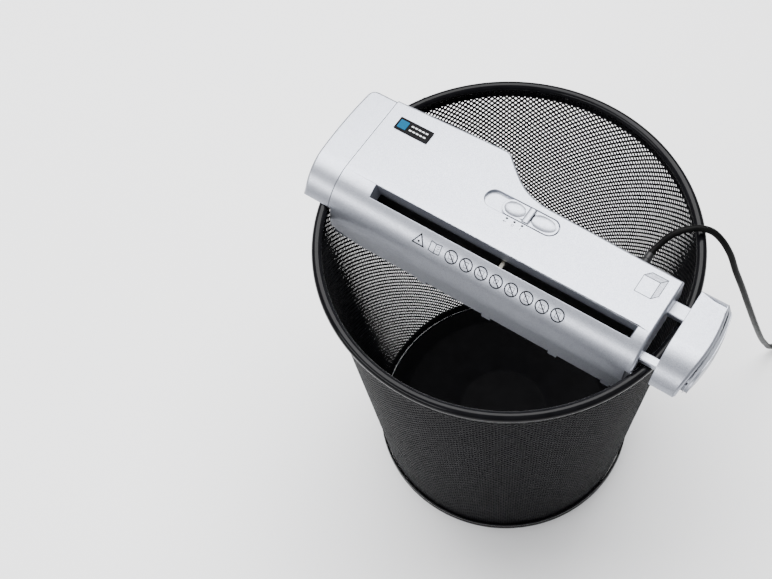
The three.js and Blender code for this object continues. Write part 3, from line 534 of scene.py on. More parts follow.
# from the coil to the plug
TAIL_ROUTE = [
    (0.2876, 0.172, 0.0088), (0.2886, 0.1615, 0.0064), (0.2893, 0.155, 0.0042), (0.2899, 0.148, 0.0031),
    (0.290, 0.138, 0.0030), (0.290, 0.126, 0.0035), (0.290, 0.114, 0.0051), (0.290, 0.106, 0.0068),
    (0.290, 0.100, 0.00715),
]
COIL_CENTRE = (0.255, 0.185)
COIL_MEAN_R = 0.0285
COIL_PITCH = 0.0054
COIL_FLOOR = 0.00385
COIL_LAYER = 0.00525
COIL_TURNS = 4.25


def ease(value, low, high):
    t = min(1.0, max(0.0, (value - low) / (high - low)))
    return t * t * (3 - 2 * t)


def coil_points():
    """Three turns side by side on the floor and the rest on top, wound clockwise from the far side."""
    points = []
    count = int(COIL_TURNS * 24)
    for i in range(1, count + 1):
        turn = COIL_TURNS * i / count
        offset = COIL_PITCH * (
            1.0
            - ease(turn, 0.76, 1.0)
            - ease(turn, 1.76, 2.0)
            + 0.5 * ease(turn, 2.83, 3.0)
            + ease(turn, 3.3, 3.62)
        )
        height = COIL_FLOOR + COIL_LAYER * ease(turn, 2.55, 2.8)
        angle = math.pi / 2 - 2 * math.pi * turn
        radius = COIL_MEAN_R + offset
        x = COIL_CENTRE[0] + radius * math.cos(angle)
        y = COIL_CENTRE[1] + radius * math.sin(angle)
        points.append((x, y, height))
    return points


def make_cord():
    start = (COIL_CENTRE[0], COIL_CENTRE[1] + COIL_MEAN_R + COIL_PITCH, COIL_FLOOR)
    route = CORD_ROUTE + [start] + coil_points() + TAIL_ROUTE
    path = smooth_path(np.array(route) / MM, 2.2)
    length = float(np.linalg.norm(np.diff(path, axis=0), axis=1).sum()) * MM
    cord = tube("mains_cord_sheath", path, CORD_DIAMETER / MM / 2, 14)
    smooth(cord, 60.0, weighted=False)
    cord.data.materials.append(LOOKS["cord"])
    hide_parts("mains_cord", "cord_coil", "cord_tail")
    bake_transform(cord, "head", "basket", start=(0.101, 0.0625, 0.3313), end=(0.183, 0.176, 0.045))
    return cord, path * MM, round(length, 2)


def make_strain_relief():
    """Flanged collar in the rear wall, then a tapered sleeve with ring grooves."""
    low, high = box_mm("strain_relief")
    x, z = CORD_EXIT[0] / MM, CORD_EXIT[2] / MM
    start, end = 27.1, high.y + 0.8
    profile = [(0, low.y), (5.2, low.y), (5.2, 21.1), (3.7, 21.1), (3.7, 24.7)]
    profile += [(4.1, 24.7), (4.5, 25.1), (4.5, 26.8), (4.3, start)]
    grooves = 5
    step = (end - start - 3.0) / grooves
    for i in range(grooves):
        y = start + 0.5 + i * step
        radius = 4.2 - 1.05 * i / grooves
        profile += [(radius, y), (radius - 0.1, y + step * 0.58)]
        profile += [(radius - 0.55, y + step * 0.66), (radius - 0.58, y + step * 0.92)]
    profile += [(3.15, end - 2.0), (3.05, end - 0.2), (2.9, end), (0, end)]
    relief = turned("cord_strain_relief", profile, (x, 0, z), "Y", 40)
    return piece(smooth(relief, 35.0), "head", "black_plastic", "strain_relief")


def make_plug():
    """The plug's shell with its grips, its ribbed sleeve, and two pins with insulated roots."""
    low, high = box_mm("plug_body")
    middle = (low.x + high.x) / 2
    height = (low.z + high.z) / 2
    width = high.x - low.x
    outline = [(middle - 6.2, high.y), (low.x + 1.0, high.y - 11.5), (low.x, high.y - 14)]
    outline += [(low.x + 2.2, low.y), (high.x - 2.2, low.y), (high.x, high.y - 14)]
    outline += [(high.x - 1.0, high.y - 11.5), (middle + 6.2, high.y)]
    body = prism("plug_shell", outline, "Z", low.z, high.z)
    soften(body, 3.0, lambda m: 1.0 if m.y > low.y + 1 else 0.25, 5, 20)
    grips = []
    for side in (-1, 1):
        for i in range(4):
            y = high.y - 17 - i * 3.2
            x = middle + side * width * 0.36
            grips.append(block("grip", (x - 3.4, x + 3.4), (y - 0.6, y + 0.6), (high.z - 0.5, high.z + 2)))
    cut(body, *grips)
    piece(smooth(body, 35.0), "basket", "black_plastic", "plug_body")
    low, high = box_mm("plug_strain_relief")
    profile = [(0, low.y - 0.8), (5.4, low.y - 0.8), (5.0, low.y + 2), (4.2, low.y + 5)]
    for i in range(5):
        y = low.y + 6 + i * 2.9
        radius = 4.15 - 0.19 * i
        profile += [(radius, y), (radius, y + 1.6), (radius - 0.55, y + 1.8), (radius - 0.6, y + 2.7)]
    profile += [(3.1, high.y - 0.4), (2.9, high.y + 0.6), (0, high.y + 0.6)]
    sleeve = turned("plug_sleeve", profile, (middle, 0, height), "Y", 32)
    piece(smooth(sleeve, 35.0), "basket", "black_plastic", "plug_strain_relief")
    pins = []
    for i in (1, 2):
        node = f"plug_pin_{i}"
        low, high = box_mm(node)
        x = (low.x + high.x) / 2
        tip = [(0, low.y), (1.1, low.y + 0.15), (1.75, low.y + 1.1), (2.0, low.y + 2.2)]
        tip += [(2.0, high.y - 8.6), (1.9, high.y - 8.5), (1.9, high.y + 0.5), (0, high.y + 0.5)]
        pin = turned(f"plug_pin_metal_{i}", tip, (x, 0, height), "Y", 24)
        piece(smooth(pin, 40.0), "basket", "steel", node)
        sheath = [(1.85, high.y - 8.4), (2.0, high.y - 8.2), (2.0, high.y + 0.4), (1.85, high.y + 0.4)]
        sleeve_ring = turned(f"plug_pin_sheath_{i}", sheath, (x, 0, height), "Y", 24, closed=True)
        piece(smooth(sleeve_ring, 40.0), "basket", "black_plastic")
        pins += [pin, sleeve_ring]
    return [body, sleeve, *pins]


def make_tie():
    """A flat band round the coil."""
    x = COIL_CENTRE[0] / MM
    y = (COIL_CENTRE[1] - COIL_MEAN_R) / MM
    around = [(-8.6, 5.5), (-8.0, 1.6), (-5.0, 0.7), (0, 0.7), (5.0, 0.7), (8.0, 1.6)]
    around += [(8.6, 5.5), (6.0, 10.2), (2.4, 12.2), (-2.4, 12.2), (-6.0, 10.2)]
    path = smooth_path([(x, y + side, z) for side, z in around], 0.8, closed=True)
    points = []
    faces = []
    half_width = 2.2
    thick = 0.35
    centre = np.array([x, y, 6.2])
    for place in path[:-1]:
        out = place - centre
        out /= np.linalg.norm(out)
        for side, depth in ((-1, -1), (1, -1), (1, 1), (-1, 1)):
            points.append(place + np.array([side * half_width, 0, 0]) + out * thick * depth)
    count = len(path) - 1
    for ring in range(count):
        after = (ring + 1) % count
        for i in range(4):
            j = (i + 1) % 4
            faces.append((ring * 4 + i, ring * 4 + j, after * 4 + j, after * 4 + i))
    band = outward(mesh_object("coil_tie_band", points, faces))
    return piece(smooth(band, 40.0), "basket", "black_plastic", "coil_tie")


cord, cord_path, cord_length = make_cord()
relief_piece = make_strain_relief()
plug_pieces = make_plug()
tie_piece = make_tie()

# --- basket ---

STRANDS = 182  # in each direction
CELL_HEIGHT = 5.37
STRAND_WIDTH = 1.56
STRAND_LEAN = 1.25  # a leaning strand is this much wider along the wall's circle
STRAND_THICK = 0.55
STRAND_LIFT = 0.04  # keeps the two families from sharing a surface where they cross
SEAM_ANGLE = 148.6


def wall_radius(z):
    return WALL_R_BASE + (WALL_R_TOP - WALL_R_BASE) * (z - WALL_BOTTOM) / (WALL_TOP - WALL_BOTTOM)


def make_mesh_wall():
    """Expanded steel mesh: two families of flat strands that cross in a lattice of small diamonds."""
    low, high = 2.2, 324.9
    cells = (high - low) / CELL_HEIGHT
    sweep = 2 * math.pi * cells / STRANDS
    steps = 34
    points = []
    faces = []
    for direction in (1, -1):
        for strand in range(STRANDS):
            first = len(points)
            begin = 2 * math.pi * strand / STRANDS
            for i in range(steps + 1):
                share = i / steps
                z = low + (high - low) * share
                angle = begin + direction * sweep * share
                middle_r = wall_radius(z) - 0.6
                around = STRAND_WIDTH / 2 / middle_r * STRAND_LEAN
                lift = STRAND_LIFT * direction
                for turn, depth in ((-1, -1), (1, -1), (1, 1), (-1, 1)):
                    radius = middle_r + depth * STRAND_THICK / 2 + lift
                    at = angle + turn * around
                    points.append((radius * math.cos(at), radius * math.sin(at), z))
            for i in range(steps):
                a = first + 4 * i
                for k in range(4):
                    m = (k + 1) % 4
                    faces.append((a + k, a + m, a + 4 + m, a + 4 + k))
            faces.append((first, first + 1, first + 2, first + 3))
            last = first + 4 * steps
            faces.append((last + 3, last + 2, last + 1, last))
    wall = outward(mesh_object("mesh_wall", points, faces))
    return piece(smooth(wall, 50.0, weighted=False), "basket", "black_steel", "basket_wall", look=MESH_ENAMEL)


def make_rim():
    """Rolled rim: a tube on top, a skirt flush with its outer side and a fine bead along the lower edge."""
    bead = 0.6
    profile = [(wall_radius(SKIRT_BOTTOM) + 0.3, SKIRT_BOTTOM)]
    profile += arc(RIM_MAJOR + 2.0 - bead, SKIRT_BOTTOM + bead, bead, -90, 70, 8)
    profile += [(RIM_MAJOR + 1.7, SKIRT_BOTTOM + 2 * bead), (RIM_MAJOR + 2.75, 324.6)]
    profile += arc(RIM_MAJOR, RIM_Z, RIM_TUBE, -42, 238, 30)
    profile += [(wall_radius(WALL_TOP) + 0.3, WALL_TOP + 0.4)]
    rim = turned("rim_hoop", profile, (0, 0, 0), "Z", 320, closed=True)
    return piece(smooth(rim, 50.0, weighted=False), "basket", "black_steel", "basket_rim")


def make_rim_seam():
    """The butt joint of the rolled rim, a narrow sleeve that stands just proud."""
    angle = math.radians(SEAM_ANGLE)
    middle = np.array([RIM_MAJOR * math.cos(angle), RIM_MAJOR * math.sin(angle), RIM_Z])
    along = np.array([-math.sin(angle), math.cos(angle), 0.0])
    path = [middle + along * t for t in (-0.9, -0.5, 0.5, 0.9)]
    seam = tube("rim_seam", path, RIM_TUBE + 0.22, 36)
    return piece(smooth(seam, 40.0), "basket", "black_steel")


def make_base():
    """Base hoop with rolled edges and a shallow swage, and the pressed floor pan."""
    inner = wall_radius(2.0) + 0.2
    profile = [(inner, 0.0)]
    profile += arc(BASE_R - 1.1, 1.1, 1.1, -90, 0, 6)
    profile += [(BASE_R - 0.15, 3.2), (BASE_R - 0.5, 4.4), (BASE_R - 0.5, 5.4), (BASE_R - 0.1, 6.6)]
    profile += arc(BASE_R - 0.9, BASE_HEIGHT - 0.9, 0.9, 0, 120, 7)
    profile += [(wall_radius(BASE_HEIGHT) + 0.15, BASE_HEIGHT - 0.6)]
    hoop = turned("base_hoop", profile, (0, 0, 0), "Z", 288, closed=True)
    piece(smooth(hoop, 50.0, weighted=False), "basket", "black_steel", "basket_base_hoop")
    edge = wall_radius(WALL_BOTTOM) - 1.6
    profile = [(0, 0.0), (edge - 22, 0.0), (edge, 0.0), (edge, 2.6), (edge - 0.6, 2.6), (edge - 1.4, 1.6)]
    profile += [(edge - 6, 1.2), (edge - 14, 1.2), (edge - 16.5, 2.2), (edge - 20, 2.2), (edge - 22.5, 1.2)]
    profile += [(46, 1.2), (43.5, 2.0), (40, 2.0), (37.5, 1.2), (0, 1.2)]
    pan = turned("floor_pan", profile, (0, 0, 0), "Z", 160)
    piece(smooth(pan, 40.0, weighted=False), "basket", "black_steel", "basket_floor_pan", look=MESH_ENAMEL)


make_mesh_wall()
make_rim()
make_rim_seam()
make_base()

# --- housings of the head ---

SLOT_LEFT = -101.2
SLOT_RIGHT = 122.1
THROAT_FRONT = -29.2
THROAT_BACK = -22.4
THROAT_TOP = 340.0
OVAL = (4.9, 12.8)
OVAL_LENGTH = 62.2
OVAL_WIDTH = 15.6
FRONT_ARM = (-38.5, -31.0)
REAR_ARM = (3.6, 16.0)
ARM_TOP = 337.8
ACROSS = (-135, 135)  # from beyond one end of the body to beyond the other
UNDER = 300  # below the head's shells
OVER = 360  # above the roof


def head_section(inset, bottom=UNDER, steps=44):
    """Section across the head: flat roof, quarter-round front, straight drop."""
    radius = FRONT_ARC_R - inset
    outline = [(70.0, bottom), (70.0, TOP - inset)]
    sweep = math.acos((bottom - FRONT_ARC_Z) / radius) if bottom > FRONT_ARC_Z else math.pi / 2
    for i in range(steps + 1):
        angle = i * sweep / steps
        outline.append((FRONT_ARC_Y - radius * math.sin(angle), FRONT_ARC_Z + radius * math.cos(angle)))
    if bottom < FRONT_ARC_Z:
        outline.append((FRONT_ARC_Y - radius, bottom))
    return outline


def bezier(p0, p1, p2, p3, steps):
    made = []
    for i in range(steps + 1):
        t = i / steps
        u = 1 - t
        weights = (u**3, 3 * u * u * t, 3 * u * t * t, t**3)
        made.append(tuple(sum(w * p for w, p in zip(weights, near)) for near in zip(p0, p1, p2, p3)))
    return made


def body_plan(left, right, inset):
    """Plan of the body: wide over the motor, narrow to the right, with an S-shaped shoulder."""
    shift = 0.6 * inset
    outline = [(left, -70.0), (right, -70.0), (right, 24.0 - inset)]
    outline += bezier(
        (24 - shift, 26.3 - inset), (0, 27 - inset), (-8 - shift, 34 - inset), (-26 - shift, 50.5 - inset), 20
    )
    outline += bezier(
        (-27.4 - shift, 51.8 - inset), (-29 - shift, 53.3 - inset), (-30.5 - shift, 54.2 - inset),
        (-34 - shift, 54.3 - inset), 6,
    )[1:]
    outline += [(-57.0, 53.7 - inset), (left, 50.7 - inset)]
    return outline


# the lower edge of the skirt in (x, z): it rises towards the left end
EDGE_RISE = [
    (LOWER_LEFT - 8, SEAM_Z - 2), (-95, SEAM_Z - 2), (-95, SEAM_Z), (-107, SEAM_Z + 1.3),
    (-120, SEAM_Z + 5), (-131, SEAM_Z + 11.5), (LOWER_LEFT - 8, SEAM_Z + 12),
]
TAB_PLACES = (-44, 14, 71.5, 115.5)
TAB_RISE = 2.8


def make_upper_housing():
    """A hollow shell with the paper funnel, the oval recess and the ways for arms and cord."""
    shell = prism("upper_shell", head_section(0, SEAM_Z), "X", *ACROSS)
    plan = prism("wide_plan", body_plan(LEFT, RIGHT, 0), "Z", MID, OVER)
    join(plan, prism("skirt_plan", body_plan(LOWER_LEFT, LOWER_RIGHT, 1), "Z", SEAM_Z - 1, MID + 0.5))
    keep(shell, plan)
    cavity = prism("cavity", head_section(SHELL), "X", *ACROSS)
    inner_plan = body_plan(LOWER_LEFT + SHELL, LOWER_RIGHT - SHELL, 1 + SHELL)
    keep(cavity, prism("plan", inner_plan, "Z", UNDER - 10, OVER))
    cut(shell, cavity)
    cut(shell, prism("edge_rise", EDGE_RISE, "Y", -56, -46))
    for x in TAB_PLACES:
        cut(shell, block("notch", (x - 3.8, x + 3.8), (-56, -48), (SEAM_Z - 1, SEAM_Z + TAB_RISE + 0.3)))
    roof = TOP - SHELL + 0.5
    profile = [(-38.2, roof), (-30.7, THROAT_TOP), (-20.9, THROAT_TOP), (-21.8, roof)]
    funnel = prism("funnel", profile, "X", SLOT_LEFT - 1.6, SLOT_RIGHT + 1.6)
    join(shell, keep(funnel, prism("under_roof", head_section(0.5), "X", *ACROSS)))
    cut(shell, flared_slot())
    tray = prism("tray", stadium(*OVAL, OVAL_LENGTH + 2.8, OVAL_WIDTH + 2.8), "Z", 348.6, roof)
    join(shell, tray)
    cut(shell, prism("recess", stadium(*OVAL, OVAL_LENGTH, OVAL_WIDTH), "Z", 350, TOP + 1))
    cut(shell, block("stem_slot", (-4.4, 15), (OVAL[1] - 2.5, OVAL[1] + 2.5), (340, 352)))
    for front, rear in (FRONT_ARM, REAR_ARM):
        cut(shell, block("arm_way", (120, 140), (front - 0.4, rear + 0.4), (PARTING - 0.4, ARM_TOP + 0.4)))
    place = (CORD_EXIT[0] / MM, 0, CORD_EXIT[2] / MM)
    cut(shell, turned("cord_way", [(0, 15), (4.1, 15), (4.1, 35), (0, 35)], place, "Y", 32))

    def share(m):
        """Wide roundings along the right end and the rear roof edge, small ones elsewhere."""
        if m.x > RIGHT - 0.5 and m.z > MID + 0.5:
            return 0.2 if m.y > 23 and m.z < TOP - 1 else 1.0
        if m.x < LEFT + 0.5:
            return 0.12
        if m.z > TOP - 1.0 and m.y > 23:
            return 1.0
        if abs(m.x - OVAL[0]) < 34 and 3 < m.y < 23 and m.z > TOP - 0.5:
            return 0.28
        return 0.22 if m.z > TOP - 1.0 else 0.14

    soften(shell, 2.0, share, 4)
    return piece(shell, "head", "silver_plastic", "upper_housing")


def flared_slot():
    """The paper mouth: sloped on all four sides down to the throat, then straight."""
    rise = TOP + 1
    ends = 3.2
    top = [(SLOT_LEFT, -35.7), (SLOT_RIGHT, -35.7), (SLOT_RIGHT, -23.3), (SLOT_LEFT, -23.3)]
    throat = [
        (SLOT_LEFT + ends, THROAT_FRONT),
        (SLOT_RIGHT - ends, THROAT_FRONT),
        (SLOT_RIGHT - ends, THROAT_BACK),
        (SLOT_LEFT + ends, THROAT_BACK),
    ]
    points = [(x, y, rise) for x, y in top]
    points += [(x, y, THROAT_TOP) for x, y in throat]
    points += [(x, y, 330.0) for x, y in throat]
    faces = [(0, 1, 2, 3), (8, 9, 10, 11)]
    for a in (0, 4):
        faces += [(a + i, a + (i + 1) % 4, a + 4 + (i + 1) % 4, a + 4 + i) for i in range(4)]
    return outward(mesh_object("slot_cutter", points, faces))


def cap_outline(inset):
    """Plan of the left cap: a shallow outward arc with a rounded rear corner."""
    back = 49.5 - inset
    start = LEFT - 0.3 + 2 * inset

    def bulge(y):
        return -156.6 + 0.0012 * (y - 5) ** 2 + inset

    outline = [(start, -70.0), (start, back)]
    corner = bulge(back - 5)
    outline += bezier(
        (corner + 7, back), (corner + 3, back), (corner + 0.3, back - 2.6), (bulge(back - 6.5), back - 6.5), 8
    )
    outline += [(bulge(y), y) for y in np.linspace(back - 9, -56, 40)]
    outline += [(bulge(-70), -70.0)]
    return outline


def make_left_cap():
    """The hollow left end of the head."""
    cap = prism("left_cap_shell", head_section(0, PARTING), "X", -170, LEFT - 0.3)
    keep(cap, prism("plan", cap_outline(0), "Z", UNDER, OVER))
    hollow = prism("hollow", head_section(SHELL, PARTING + SHELL), "X", -170, -120)
    keep(hollow, prism("plan", cap_outline(SHELL), "Z", UNDER, OVER))
    cut(cap, hollow)

    def share(m):
        if m.x > LEFT - 0.8:
            return 0.1
        return 1.0 if m.z > PARTING + 2 else 0.25

    soften(cap, 2.2, share, 4, 28)
    return piece(cap, "head", "silver_plastic", "left_cap")


def end_bulge(y):
    return 174.6 - 0.0037 * (y + 10) ** 2


def end_outline(inset, back):
    """Plan of the outer end piece: straight inner edge, outward arc on the far side."""

    def bulge(y):
        return end_bulge(y) - inset

    rear = back - inset
    outline = [(END_INNER, -70.0), (bulge(-70), -70.0)]
    outline += [(bulge(y), y) for y in np.linspace(-56, rear - 5, 44)]
    outline += bezier(
        (bulge(rear - 4), rear - 4), (bulge(rear) - 0.2, rear - 1.2), (bulge(rear) - 1.5, rear),
        (bulge(rear) - 5, rear), 8,
    )
    outline += [(END_INNER, rear)]
    return outline


def chamfer_cutter(width, depth):
    """What a flat band along the outer edge of the end piece takes away: `width` on the roof and the
    front curve, `depth` down the outer wall."""
    rows = [(y, TOP, 0.0, 1.0) for y in np.linspace(60, FRONT_ARC_Y + 3, 20)]
    for angle in np.radians(np.linspace(0, 90, 40)):
        ny, nz = -math.sin(angle), math.cos(angle)
        rows.append((FRONT_ARC_Y + FRONT_ARC_R * ny, FRONT_ARC_Z + FRONT_ARC_R * nz, ny, nz))
    rows.append((FRONT_ARC_Y - FRONT_ARC_R, UNDER, -1.0, 0.0))
    points = []
    for y, z, ny, nz in rows:
        for along, out in ((-0.5, 0.0), (1.5, 0.0), (-0.5, 40.0)):
            inset = depth * along
            x = end_bulge(y) - width * (1 - along) + out
            points.append((x, y - ny * inset, z - nz * inset))
    faces = [(0, 1, 2), tuple(range(len(points) - 3, len(points)))]
    for i in range(0, len(points) - 3, 3):
        faces += [(i + k, i + (k + 1) % 3, i + 3 + (k + 1) % 3, i + 3 + k) for k in range(3)]
    return outward(mesh_object("chamfer", points, faces))


def cut_arm_ways(thing):
    """Room for the two arms in the end piece."""
    for front, rear in (FRONT_ARM, REAR_ARM):
        cut(thing, block("way", (140, 169.3), (front - 0.3, rear + 0.3), (PARTING - 1, ARM_TOP + 0.3)))


def make_end_cap():
    """Roof, front and a chamfered outer edge in one part, and a lower part that stands inside it."""
    upper = prism("end_cap_shell", head_section(0, PARTING), "X", END_INNER, 190)
    keep(upper, prism("plan", end_outline(0, END_BACK), "Z", UNDER, OVER))
    hollow = prism("hollow", head_section(SHELL), "X", END_INNER + SHELL, 190)
    keep(hollow, prism("plan", end_outline(SHELL, END_BACK), "Z", UNDER - 10, OVER))
    cut(upper, hollow)
    cut(upper, prism("side_drop", head_section(SIDE_DROP), "X", END_INNER + SHELL, 190))
    cut(upper, chamfer_cutter(4.0, SIDE_DROP))
    cut_arm_ways(upper)

    def upper_share(m):
        if m.x < END_INNER + 0.3:
            return 0.45
        surface = FRONT_ARC_R - (Vector((m.y, m.z)) - Vector((FRONT_ARC_Y, FRONT_ARC_Z))).length
        on_front = m.y < FRONT_ARC_Y and surface < 0.6
        if m.y > END_BACK - 6 and m.x > 162:
            return 0.15
        return 1.0 if m.z > TOP - 0.5 or (on_front and m.z > PARTING + 1.5) else 0.15

    soften(upper, 1.3, upper_share, 4, 24)
    piece(upper, "extension", "silver_plastic", "end_cap_upper")

    skin = SIDE_DROP + GROOVE
    tray = prism("end_tray_shell", head_section(skin, PARTING), "X", TRAY_START, 190)
    keep(tray, prism("plan", end_outline(-0.6, END_BACK), "Z", PARTING, OVER))
    hollow = prism("hollow", head_section(skin + SHELL), "X", TRAY_START + SHELL, 190)
    join(hollow, block("open_top", (TRAY_START + SHELL, 190), (-32, 70), (336, OVER)))
    keep(hollow, prism("plan", end_outline(SHELL, END_BACK), "Z", PARTING + SHELL, OVER))
    cut(tray, hollow)
    cut_arm_ways(tray)
    soften(tray, 0.8, lambda m: 1.0 if m.z < PARTING + 0.5 else 0.4, 3, 28)
    return piece(tray, "extension", "silver_plastic", "end_cap_tray")


def make_arms():
    for name, (front, rear) in (("arm_front", FRONT_ARM), ("arm_rear", REAR_ARM)):
        low, high = box_mm(name)
        bar = block(f"{name}_bar", (low.x, high.x), (front, rear), (low.z, high.z))
        soften(bar, 1.2, None, 4)
        piece(bar, "extension", "silver_plastic", name)


def dress(node, slot, width):
    """Keeps a CAD node's shape, with its slot's material and slightly rounded edges."""
    node.data.materials.clear()
    node.data.materials.append(LOOKS[slot])
    bevel = node.modifiers.new("bevel", "BEVEL")
    bevel.width = width * MM
    bevel.segments = 2
    bevel.limit_method = "ANGLE"
    bevel.angle_limit = math.radians(35.0)
    bevel.use_clamp_overlap = True
    normals = node.modifiers.new("normals", "WEIGHTED_NORMAL")
    normals.weight = 80
    normals.thresh = 1e-8


make_upper_housing()
make_left_cap()
make_end_cap()
make_arms()
dress(frame["nodes"]["lower_housing"], "silver_plastic", 0.5)

# --- selector ---


def make_selector():
    """Slider with a dished finger pad on each side of a raised bar."""
    low, high = box_mm("selector_slider")
    centre_x = (low.x + high.x) / 2
    width = high.y - low.y
    length = high.x - low.x
    slider = prism("selector_pad", stadium(centre_x, OVAL[1], length, width), "Z", 350.4, TOP - 0.2)
    for x, reach in ((low.x + 10.2, 9.2), (high.x - 12.2, 11.2)):
        dish = turned("dish", [(0, -1.0)] + arc(0, 0, 1.0, -84, 84, 14) + [(0, 1.0)], (0, 0, 0), "Z", 48)
        dish.location = (x * MM, OVAL[1] * MM, (TOP + 0.3) * MM)
        dish.data.transform(Matrix.Diagonal((reach, width * 0.44, 2.0, 1.0)))
        cut(slider, dish)
    crown = TOP + 0.2
    bar = [(8.4, 350.6), (13.8, 350.6), (13.8, crown)]
    bar += [(x, crown + (z - TOP - 0.2) * 0.4) for x, z in arc(11.1, crown, 2.7, 0, 180, 12)[1:-1]]
    bar += [(8.4, crown)]
    join(slider, prism("bar", bar, "Y", OVAL[1] - width / 2 + 0.5, OVAL[1] + width / 2 - 0.5))
    join(slider, block("stem", (9.6, 12.6), (OVAL[1] - 2, OVAL[1] + 2), (345.4, 351)))
    soften(slider, 0.35, None, 3, 40)
    return piece(slider, "selector", "silver_plastic", "selector_slider")


make_selector()

# --- printed marks: all plain shapes of no particular maker ---

INK_LIFT = 0.06
MARK_ANGLE = 44.1  # from the top of the front curve down to the middle of the row of marks
FIRST_RING = -21.85
RING_PITCH = 12.85
RING_COUNT = 8


def on_roof(u, v):
    return (u, v, TOP + INK_LIFT)


def on_front(u, v):
    """u along X; v along the curved front, measured up from the middle of the row."""
    angle = math.radians(MARK_ANGLE) - v / FRONT_ARC_R
    radius = FRONT_ARC_R + INK_LIFT
    return (u, FRONT_ARC_Y - radius * math.sin(angle), FRONT_ARC_Z + radius * math.cos(angle))


def stroke(points, width, closed=False):
    """A ribbon of quads along a polyline."""
    points = [np.array(p, float) for p in points]
    count = len(points)
    left, right = [], []
    for i, here in enumerate(points):
        before = points[i - 1] if closed or i > 0 else here
        after = points[(i + 1) % count] if closed or i < count - 1 else here
        d1 = here - before
        d2 = after - here
        d1 = d1 / (np.linalg.norm(d1) or 1)
        d2 = d2 / (np.linalg.norm(d2) or 1)
        direction = d1 + d2
        direction = direction / (np.linalg.norm(direction) or 1)
        normal = np.array([-direction[1], direction[0]])
        other = np.array([-d2[1], d2[0]]) if np.linalg.norm(after - here) else np.array([-d1[1], d1[0]])
        reach = width / 2 / max(0.35, float(np.dot(normal, other)))
        left.append(here + normal * reach)
        right.append(here - normal * reach)
    flat = left + right
    last = count if closed else count - 1
    faces = [(i, (i + 1) % count, count + (i + 1) % count, count + i) for i in range(last)]
    return flat, faces


def divided(points, closed, step=0.9):
    """Adds points so that a mark can follow the curved front."""
    made = []
    pairs = list(zip(points, points[1:] + points[:1])) if closed else list(zip(points, points[1:]))
    for (x0, y0), (x1, y1) in pairs:
        parts = max(1, int(math.hypot(x1 - x0, y1 - y0) / step))
        made += [(x0 + (x1 - x0) * i / parts, y0 + (y1 - y0) * i / parts) for i in range(parts)]
    if not closed:
        made.append(points[-1])
    return made


class Print:
    """One printed layer, gathered as ribbons and filled shapes and laid on a surface."""

    def __init__(self, name, surface):
        self.name = name
        self.surface = surface
        self.points = []
        self.faces = []

    def _add(self, flat, faces):
        first = len(self.points)
        self.points += [self.surface(float(u), float(v)) for u, v in flat]
        self.faces += [tuple(first + i for i in face) for face in faces]

    def line(self, points, width, closed=False):
        self._add(*stroke(divided(points, closed), width, closed))

    def ring(self, cx, cy, radius, width, steps=40):
        self._add(*stroke(arc(cx, cy, radius, 0, 360 - 360 / steps, steps - 1), width, True))

    def disc(self, cx, cy, radius, steps=24):
        self.filled(arc(cx, cy, radius, 0, 360 - 360 / steps, steps - 1))

    def filled(self, points):
        self._add(points, [tuple(range(len(points)))])

    def done(self, material):
        made = mesh_object(self.name, self.points, self.faces)
        thick = made.modifiers.new("ink", "SOLIDIFY")
        thick.thickness = 0.04 * MM
        thick.offset = -1.0
        settle(made)
        return piece(smooth(made, 50.0, weighted=False), "head", "black_plastic", look=material)


def front_marks():
    """A triangle, an open book and eight struck-out rings along the curved front."""
    marks = Print("front_marks", on_front)
    marks.line(arc(-50.0, -0.6, 5.6, 90, 330, 2), 0.95, True)
    marks.disc(-50.0, -0.8, 0.9)
    book = [(-40.6, -3.4), (-36.0, -4.0), (-31.4, -3.4), (-31.4, 4.2), (-36.0, 3.6), (-40.6, 4.2)]
    marks.line(book, 0.6, True)
    marks.line([(-36.0, -4.0), (-36.0, 3.6)], 0.6)
    for v in (1.9, 0.3, -1.3):
        marks.line([(-34.8, v + 0.1), (-32.5, v + 0.4)], 0.35)
    slope = 3.5
    for i in range(RING_COUNT):
        u = FIRST_RING + RING_PITCH * i
        marks.ring(u, 0, 5.0, 0.95)
        marks.line([(u - slope, slope), (u + slope, -slope)], 0.9)
    marks.done(INK)
    shapes = Print("front_mark_figures", on_front)
    for i in range(RING_COUNT):
        u = FIRST_RING + RING_PITCH * i
        half = 1.5 if i % 2 else 2.0
        tall = 2.2 if i % 3 else 1.6
        shapes.line([(u - half, -tall), (u + half, -tall), (u + half, tall), (u - half, tall)], 0.4, True)
    shapes.done(INK_GREY)


def roof_marks():
    """Three dots and plain symbols by the switch, and a stack of sheets at the right."""
    marks = Print("switch_marks", on_roof)
    for u in (-1.8, 4.7, 11.1):
        marks.disc(u, 2.9, 0.95)
    marks.line([(-3.2, -0.2), (-0.6, -0.2)], 0.32)
    marks.line([(-2.3, 0.6), (-3.3, -0.2), (-2.3, -1.0)], 0.32)
    marks.ring(4.7, -0.2, 0.85, 0.3, 20)
    marks.line([(11.1, -1.1), (11.1, 0.7)], 0.36)
    marks.done(INK)
    stack = Print("sheet_stack_mark", on_roof)
    left, right, near, far = 105.5, 118.4, -0.8, 14.0
    dx, dy = 4.2, 4.6
    stack.line([(left, near), (right, near), (right, far), (left, far)], 0.5, True)
    stack.line([(left, far), (left + dx, far + dy), (right + dx, far + dy), (right, far)], 0.5)
    stack.line([(right + dx, far + dy), (right + dx, near + dy), (right, near)], 0.5)
    stack.done(INK)
    sheets = Print("sheet_stack_edges", on_roof)
    for i in range(1, 9):
        x, y = dx * (i / 9), dy * (i / 9)
        sheets.line([(right + x, near + y), (right + x, far + y)], 0.16)
        sheets.line([(left + x, far + y), (right + x, far + y)], 0.16)
    sheets.done(INK_GREY)


